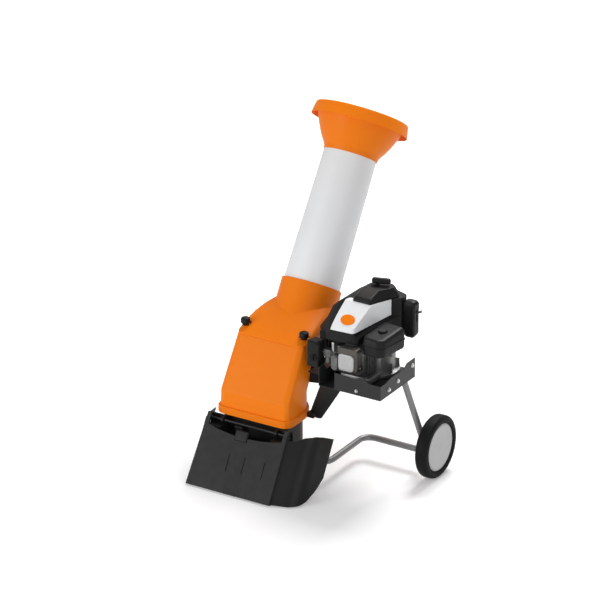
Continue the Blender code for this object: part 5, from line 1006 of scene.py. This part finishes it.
# Cowl: a black moulded blower housing with a faceted top, and a pale shield let into it.
# The shield's nose carries a blank orange badge. The housing widens to a band at its foot,
# with a flare on the left, a shroud over the barrel and an elbow for the intake.
COWL_PLAN = ((0.177, -0.112, 0.012), (0.171, 0.006, 0.018), (-0.010, 0.064, 0.0), (-0.034, 0.096, 0.012),
             (-0.076, 0.096, 0.014), (-0.092, 0.050, 0.0), (-0.092, -0.060, 0.018), (-0.060, -0.110, 0.0),
             (0.060, -0.134, 0.0), (0.134, -0.136, 0.0))
COWL_LEFT = -0.136
COWL_BAND = 0.014
COWL_BAND_SLOPE = 0.008
COWL_SHOULDERS = ((-0.136, 0.037), (-0.109, 0.013), (-0.089, 0.0))
COWL_LOW = 0.166
NOSE_TOP = 0.222
CROWN_TOP = 0.302
FLAT_FROM = 0.086
COWL_WALL = 0.003
SHIELD_PLAN = ((0.200, -0.0935), (0.200, 0.060), (-0.010, 0.120), (-0.010, 0.052), (0.072, 0.012),
               (0.072, -0.044), (0.058, -0.066), (0.062, -0.0765), (0.124, -0.086))
SHIELD_SEAM = 0.210
SHIELD_RISE = 0.14
SKIRT_RADIUS = 0.069
CASE_TOP = 0.125
STARTER_HOLE = 0.056
NOSE_X = COWL_PLAN[0][0]
FLARE_FOOT = ((0.128, -0.118), (0.128, -0.160), (0.104, -0.180), (-0.040, -0.180), (-0.062, -0.118))
FLARE_CROWN = ((0.118, -0.118), (0.118, -0.134), (0.096, -0.141), (-0.030, -0.141), (-0.052, -0.118))
FLARE_TOP = 0.236
SHROUD = ((0.080, -0.126, 0.098), (0.135, -0.058, COWL_LOW - FIT))
HEAD_DUCT = ((SKIRT_RADIUS + 0.012, -0.042, COWL_LOW - 0.01), (0.144, 0.030, COWL_LOW + 0.01))
ELBOW = ((0.079, -0.180, 0.085), (0.109, -0.145, COWL_LOW - 0.003))


def moved_in(corners, distance):
    """Moves every side of an anticlockwise outline inwards."""
    moved = []
    for i in range(len(corners)):
        before, corner, after = (Vector(corners[k % len(corners)]) for k in (i - 1, i, i + 1))
        incoming, outgoing = (corner - before).normalized(), (after - corner).normalized()
        turn = incoming.angle_signed(outgoing)
        inward = Vector((-incoming.y, incoming.x))
        moved.append(corner + inward * distance - incoming * distance * math.tan(-turn / 2))
    return [(point.x, point.y) for point in moved]


def rounded_outline(corners, radii, steps=4):
    """A closed outline with a radius at each corner, or a sharp corner where it is nought."""
    outline = []
    for i in range(len(corners)):
        trio = [(*corners[k % len(corners)], 0.0) for k in (i - 1, i, i + 1)]
        if radii[i] > 0:
            outline += [(point.x, point.y) for point in bent_line(trio, radii[i], steps)[1:-1]]
        else:
            outline.append(corners[i])
    return outline


def cowl_top(x):
    """The top's height: level round the crankshaft, falling towards the nose."""
    return CROWN_TOP - (CROWN_TOP - NOSE_TOP) * max(0.0, x - FLAT_FROM) / (NOSE_X - FLAT_FROM)


def seam_height(x):
    """The seam under the shield rises towards the rear."""
    return SHIELD_SEAM + SHIELD_RISE * (COWL_PLAN[1][0] - x)


def cowl_outline(inset, left, band):
    """The cowl's plan, its left side drawn in to a place and its right side let out by the band."""
    corners = []
    for i, (x, y, _) in enumerate(COWL_PLAN):
        if y < left:
            y = left + 0.15 * (y - COWL_LEFT)
        elif i in (1, 2):
            y += band
        corners.append((x, y))
    radii = [max(radius - inset, 0.0) for _, _, radius in COWL_PLAN]
    outline = rounded_outline(moved_in(corners, inset), radii)
    plan = []
    for (x, y), (next_x, next_y) in zip(outline, outline[1:] + outline[:1]):
        plan.append((x, y))
        if (x - FLAT_FROM) * (next_x - FLAT_FROM) < 0:
            plan.append((FLAT_FROM, y + (next_y - y) * (FLAT_FROM - x) / (next_x - x)))
    return plan


def cowl_form(name, inset, low, drop):
    """The cowl's whole form: a band at the foot, a rounded left shoulder and the creased top."""
    deepest = COWL_SHOULDERS[0][1]
    base = cowl_outline(inset, COWL_LEFT, COWL_BAND)

    def band_top(x):
        return min(seam_height(x), cowl_top(x) - deepest - drop) - 0.002

    rings = [level(base, low), [(x, y, band_top(x) - COWL_BAND_SLOPE) for x, y in base],
             [(x, y, band_top(x)) for x, y in cowl_outline(inset, COWL_LEFT, 0.0)]]
    for left, depth in COWL_SHOULDERS:
        rings.append([(x, y, cowl_top(x) - depth - drop) for x, y in cowl_outline(inset, left, 0.0)])
    form = skinned(name, rings, capped=False)
    bpy.ops.object.mode_set(mode="EDIT")
    top = rings[-1]
    for line in (rings[0], [point for point in top if point[0] > FLAT_FROM - 1e-6],
                 [point for point in top if point[0] < FLAT_FROM + 1e-6]):
        pick(form, line)
        bpy.ops.mesh.edge_face_add()
    faced_out()
    return form


def shield_space(grow):
    """What the shield takes out of the cowl: all above the seam, inside its own plan."""
    plan = moved_in(SHIELD_PLAN, -grow)
    return skinned("shield_space", [[(x, y, seam_height(x) - grow) for x, y in plan],
                                    level(plan, CROWN_TOP + 0.05)])


cowl = cowl_form("cowl_housing", 0.0, COWL_LOW, 0.0)
cut(cowl, cowl_form("room", COWL_WALL, COWL_LOW + COWL_WALL, COWL_WALL))
cut(cowl, shield_space(0.0004))
cut(cowl, bar("duct", SKIRT_RADIUS - COWL_WALL, COWL_LOW - 0.01, COWL_LOW + 0.01))
cut(cowl, block("head_duct", *HEAD_DUCT))
cut(cowl, bar("starter_hole", STARTER_HOLE, CROWN_TOP - 0.02, CROWN_TOP + 0.02))
ring = bar("cowl_ring", SKIRT_RADIUS, CASE_TOP + FIT, COWL_LOW + COWL_WALL / 2, bore=SKIRT_RADIUS - COWL_WALL)
eased(cowl, 0.0014, segments=3)
joined(cowl, ring)
flare = skinned("left_flare", [level(FLARE_FOOT, COWL_LOW - 0.004), level(FLARE_FOOT, COWL_LOW + 0.012),
                               level(FLARE_CROWN, FLARE_TOP)])
eased(flare, 0.003, segments=3)
joined(cowl, block("shroud", *SHROUD, 0.006), flare, block("elbow", *ELBOW, 0.005))
settled(cowl, engine_place)
finish_piece(cowl, BLACK, ["blower_housing"])

shield = cowl_form("cowl_shield", 0.0, COWL_LOW, 0.0)
cut(shield, shield_space(0.0), "INTERSECT")
cut(shield, cowl_form("hollow", COWL_WALL, COWL_LOW - 0.02, COWL_WALL))
eased(shield, 0.0012, segments=3)
settled(shield, engine_place)
SHIELD_GREY = surface("pale_shield_plastic", [(0.78, 0.79, 0.80), (0.84, 0.85, 0.86)], patches=(12.0, 2.0),
                      dulling=(40.0, 0.30, 0.10), grain=(500.0, 2.0, 0.05, 0.0004))
finish_piece(shield, SHIELD_GREY, ["top_cowl"])

BADGE_X = 0.145
BADGE_Y = -0.034
BADGE_HALF = (0.022, 0.030)
slope = math.atan2(CROWN_TOP - NOSE_TOP, NOSE_X - FLAT_FROM)
badge_place = engine_place @ Matrix.Translation((BADGE_X, BADGE_Y, cowl_top(BADGE_X) + 0.0004))
badge_place = badge_place @ Matrix.Rotation(slope, 4, "Y") @ Matrix.Diagonal((*BADGE_HALF, 1.0, 1.0))
badge = turned("nose_badge", [(0.0, 0.0), (1.0, 0.0), (1.0, 0.0010), (0.97, 0.0014), (0.90, 0.0014),
                              (0.87, 0.0011), (0.84, 0.0014), (0.0, 0.0022)], badge_place, 72)
finish_piece(badge, ORANGE, ["cowl_badge"], crease=50.0)


# Recoil starter: an angular black dome on the cowl, with the pull grip on top of it.
# The grip lies across the dome and rides the rope's short neck.
RECOIL_BASE = ((0.086, 0.029), (-0.008, 0.062), (-0.034, 0.084), (-0.068, 0.066), (-0.084, 0.010),
               (-0.062, -0.055), (0.021, -0.066), (0.083, -0.050))
RECOIL_CROWN = ((0.022, 0.026), (-0.014, 0.052), (-0.034, 0.060), (-0.058, 0.048), (-0.070, 0.008),
                (-0.056, -0.030), (-0.010, -0.042), (0.018, -0.030))
RECOIL_RISE = 0.036
RECOIL_CORNER = 0.010
RECOIL_WALL = 0.003
GRIP_PLACE = (-0.025, -0.007)
GRIP_TURN = math.radians(17.5)
GRIP_OFFSET = 0.016
GRIP_LENGTH = 0.074
GRIP_WIDTH = 0.024
GRIP_HEIGHT = 0.023
GRIP_ROUND = 0.010
ROPE_RADIUS = 0.0025
ROPE_HOLE = 0.0037
BOSS_BORE = 0.0035
recoil_low = CROWN_TOP + FIT
recoil_top = recoil_low + RECOIL_RISE


def recoil_form(name, inset, drop):
    """The starter's dome, solid, from its foot up to the crown."""
    rings = []
    for plan, extra, height in ((RECOIL_BASE, 0.0, recoil_low - drop),
                                (RECOIL_BASE, 0.0, recoil_low + 0.006 - drop / 3),
                                (RECOIL_BASE, 0.008, recoil_low + 0.018 - drop / 3),
                                (RECOIL_CROWN, 0.0, recoil_top - drop)):
        outline = rounded_outline(moved_in(plan, inset + extra), [RECOIL_CORNER] * len(plan))
        rings.append(level(outline, height))
    return skinned(name, rings)


dome = recoil_form("starter_dome", 0.0, 0.0)
cut(dome, recoil_form("dome_room", RECOIL_WALL, RECOIL_WALL))
neck_place = Matrix.Translation((*GRIP_PLACE, 0.0))
boss = turned("rope_boss", [(BOSS_BORE, recoil_top - 0.0028), (0.010, recoil_top - 0.0028),
                            (0.010, recoil_top + 0.002), (0.008, recoil_top + 0.004),
                            (BOSS_BORE, recoil_top + 0.004)], neck_place, 40)
cut(dome, bar("rope_hole", ROPE_HOLE, recoil_top - 0.03, recoil_top + 0.03, neck_place, 40))
eased(dome, 0.0016, segments=3)
joined(dome, boss)
settled(dome, engine_place)
finish_piece(dome, BLACK, ["recoil_cover"])

grip_seat = recoil_top + 0.0043
grip_low = grip_seat + 0.0015
grip = block("pull_grip", (GRIP_OFFSET - GRIP_LENGTH / 2, -GRIP_WIDTH / 2, grip_low),
             (GRIP_OFFSET + GRIP_LENGTH / 2, GRIP_WIDTH / 2, grip_low + GRIP_HEIGHT), GRIP_ROUND,
             neck_place @ Matrix.Rotation(math.pi / 2 + GRIP_TURN, 4, "Z"), 5)
rope_neck = turned("rope_neck", [(0.0, recoil_top - 0.014), (ROPE_RADIUS, recoil_top - 0.014),
                                 (ROPE_RADIUS, grip_seat), (0.0065, grip_seat), (0.0065, grip_seat + 0.006),
                                 (0.0, grip_seat + 0.006)], neck_place, 32)
joined(grip, rope_neck)
settled(grip, engine_place)
finish_piece(grip, BLACK, ["starter_handle"], crease=50.0)


# Fuel tank, air cleaner, controls and dipstick: black mouldings round the engine.
# The tank is welded of two shells at a seam, and its cap sits on a short neck.
TANK_CENTRE = (0.114, 0.100)
TANK_TURN = math.radians(-8)
TANK_HALF_LENGTH = 0.077
TANK_HALF_WIDTH = 0.052
TANK_LOW = 0.142
TANK_TOP = 0.215
TANK_BACK_RISE = 0.016
TANK_RISE_FROM = 0.35
TANK_SEAM = 0.180
TANK_NOSE = 0.68
TANK_FORM = ((0.012, TANK_LOW, 0.0), (0.004, TANK_LOW + 0.004, 0.0), (0.0015, TANK_LOW + 0.012, 0.0),
             (0.0008, TANK_SEAM, 0.0), (-0.0012, TANK_SEAM + 0.0002, 0.0), (-0.0012, TANK_SEAM + 0.004, 0.0),
             (0.0008, TANK_SEAM + 0.0042, 0.0), (0.0020, TANK_TOP - 0.014, 0.8),
             (0.0050, TANK_TOP - 0.006, 0.95), (0.0105, TANK_TOP - 0.0015, 1.0), (0.0200, TANK_TOP, 1.0))
FILLER_BORE = 0.0085
NECK_FOOT = 0.019
NECK_CROWN = 0.017
CAP_ROOM = 0.0185
tank_place = Matrix.Translation((*TANK_CENTRE, 0.0)) @ Matrix.Rotation(TANK_TURN, 4, "Z")
length, width = TANK_HALF_LENGTH, TANK_HALF_WIDTH
tank_plan = [(length, -width * 0.62), (length, width * 0.66), (length * TANK_NOSE, width), (-length, width),
             (-length, -width), (length * TANK_NOSE, -width)]
tank_radii = [0.020, 0.022, 0.022, 0.014, 0.014, 0.020]


def tank_ring(inset, height, rise):
    """The tank's plan drawn in, raised towards its back end."""
    outline = rounded_outline(moved_in(tank_plan, inset), [radius - inset * 0.6 for radius in tank_radii], 5)
    return [(x, y, height + rise * max(0.0, TANK_RISE_FROM - x / length) / (1 + TANK_RISE_FROM))
            for x, y in outline]


tank_rings = [tank_ring(inset, height, TANK_BACK_RISE * rise) for inset, height, rise in TANK_FORM]
tank = skinned("tank_body", tank_rings, tank_place)
neck_low, neck_top = TANK_TOP - 0.006, TANK_TOP + 0.0018
neck = turned("filler_neck", [(FILLER_BORE, neck_low), (NECK_FOOT, neck_low), (NECK_CROWN, neck_top),
                              (FILLER_BORE, neck_top)], tank_place, 48)
cut(tank, bar("filler_bore", FILLER_BORE, TANK_TOP - 0.030, TANK_TOP + 0.02, tank_place, 40))
cut(tank, turned("cap_room", [(0.0, neck_top), (CAP_ROOM, neck_top), (CAP_ROOM + 0.0015, TANK_TOP + 0.03),
                              (0.0, TANK_TOP + 0.03)], tank_place, 48))
joined(tank, neck)
settled(tank, engine_place)
finish_piece(tank, BLACK, ["fuel_tank"], crease=38.0)
for name, width in (("air_cleaner_base", 0.0009), ("air_cleaner_cover", 0.0012),
                    ("air_cleaner_knob", 0.0006), ("control_box", 0.0012), ("oil_dipstick", 0.0006),
                    ("fuel_cap", 0.0008)):
    softened(name, name + "_moulding", BLACK, width)
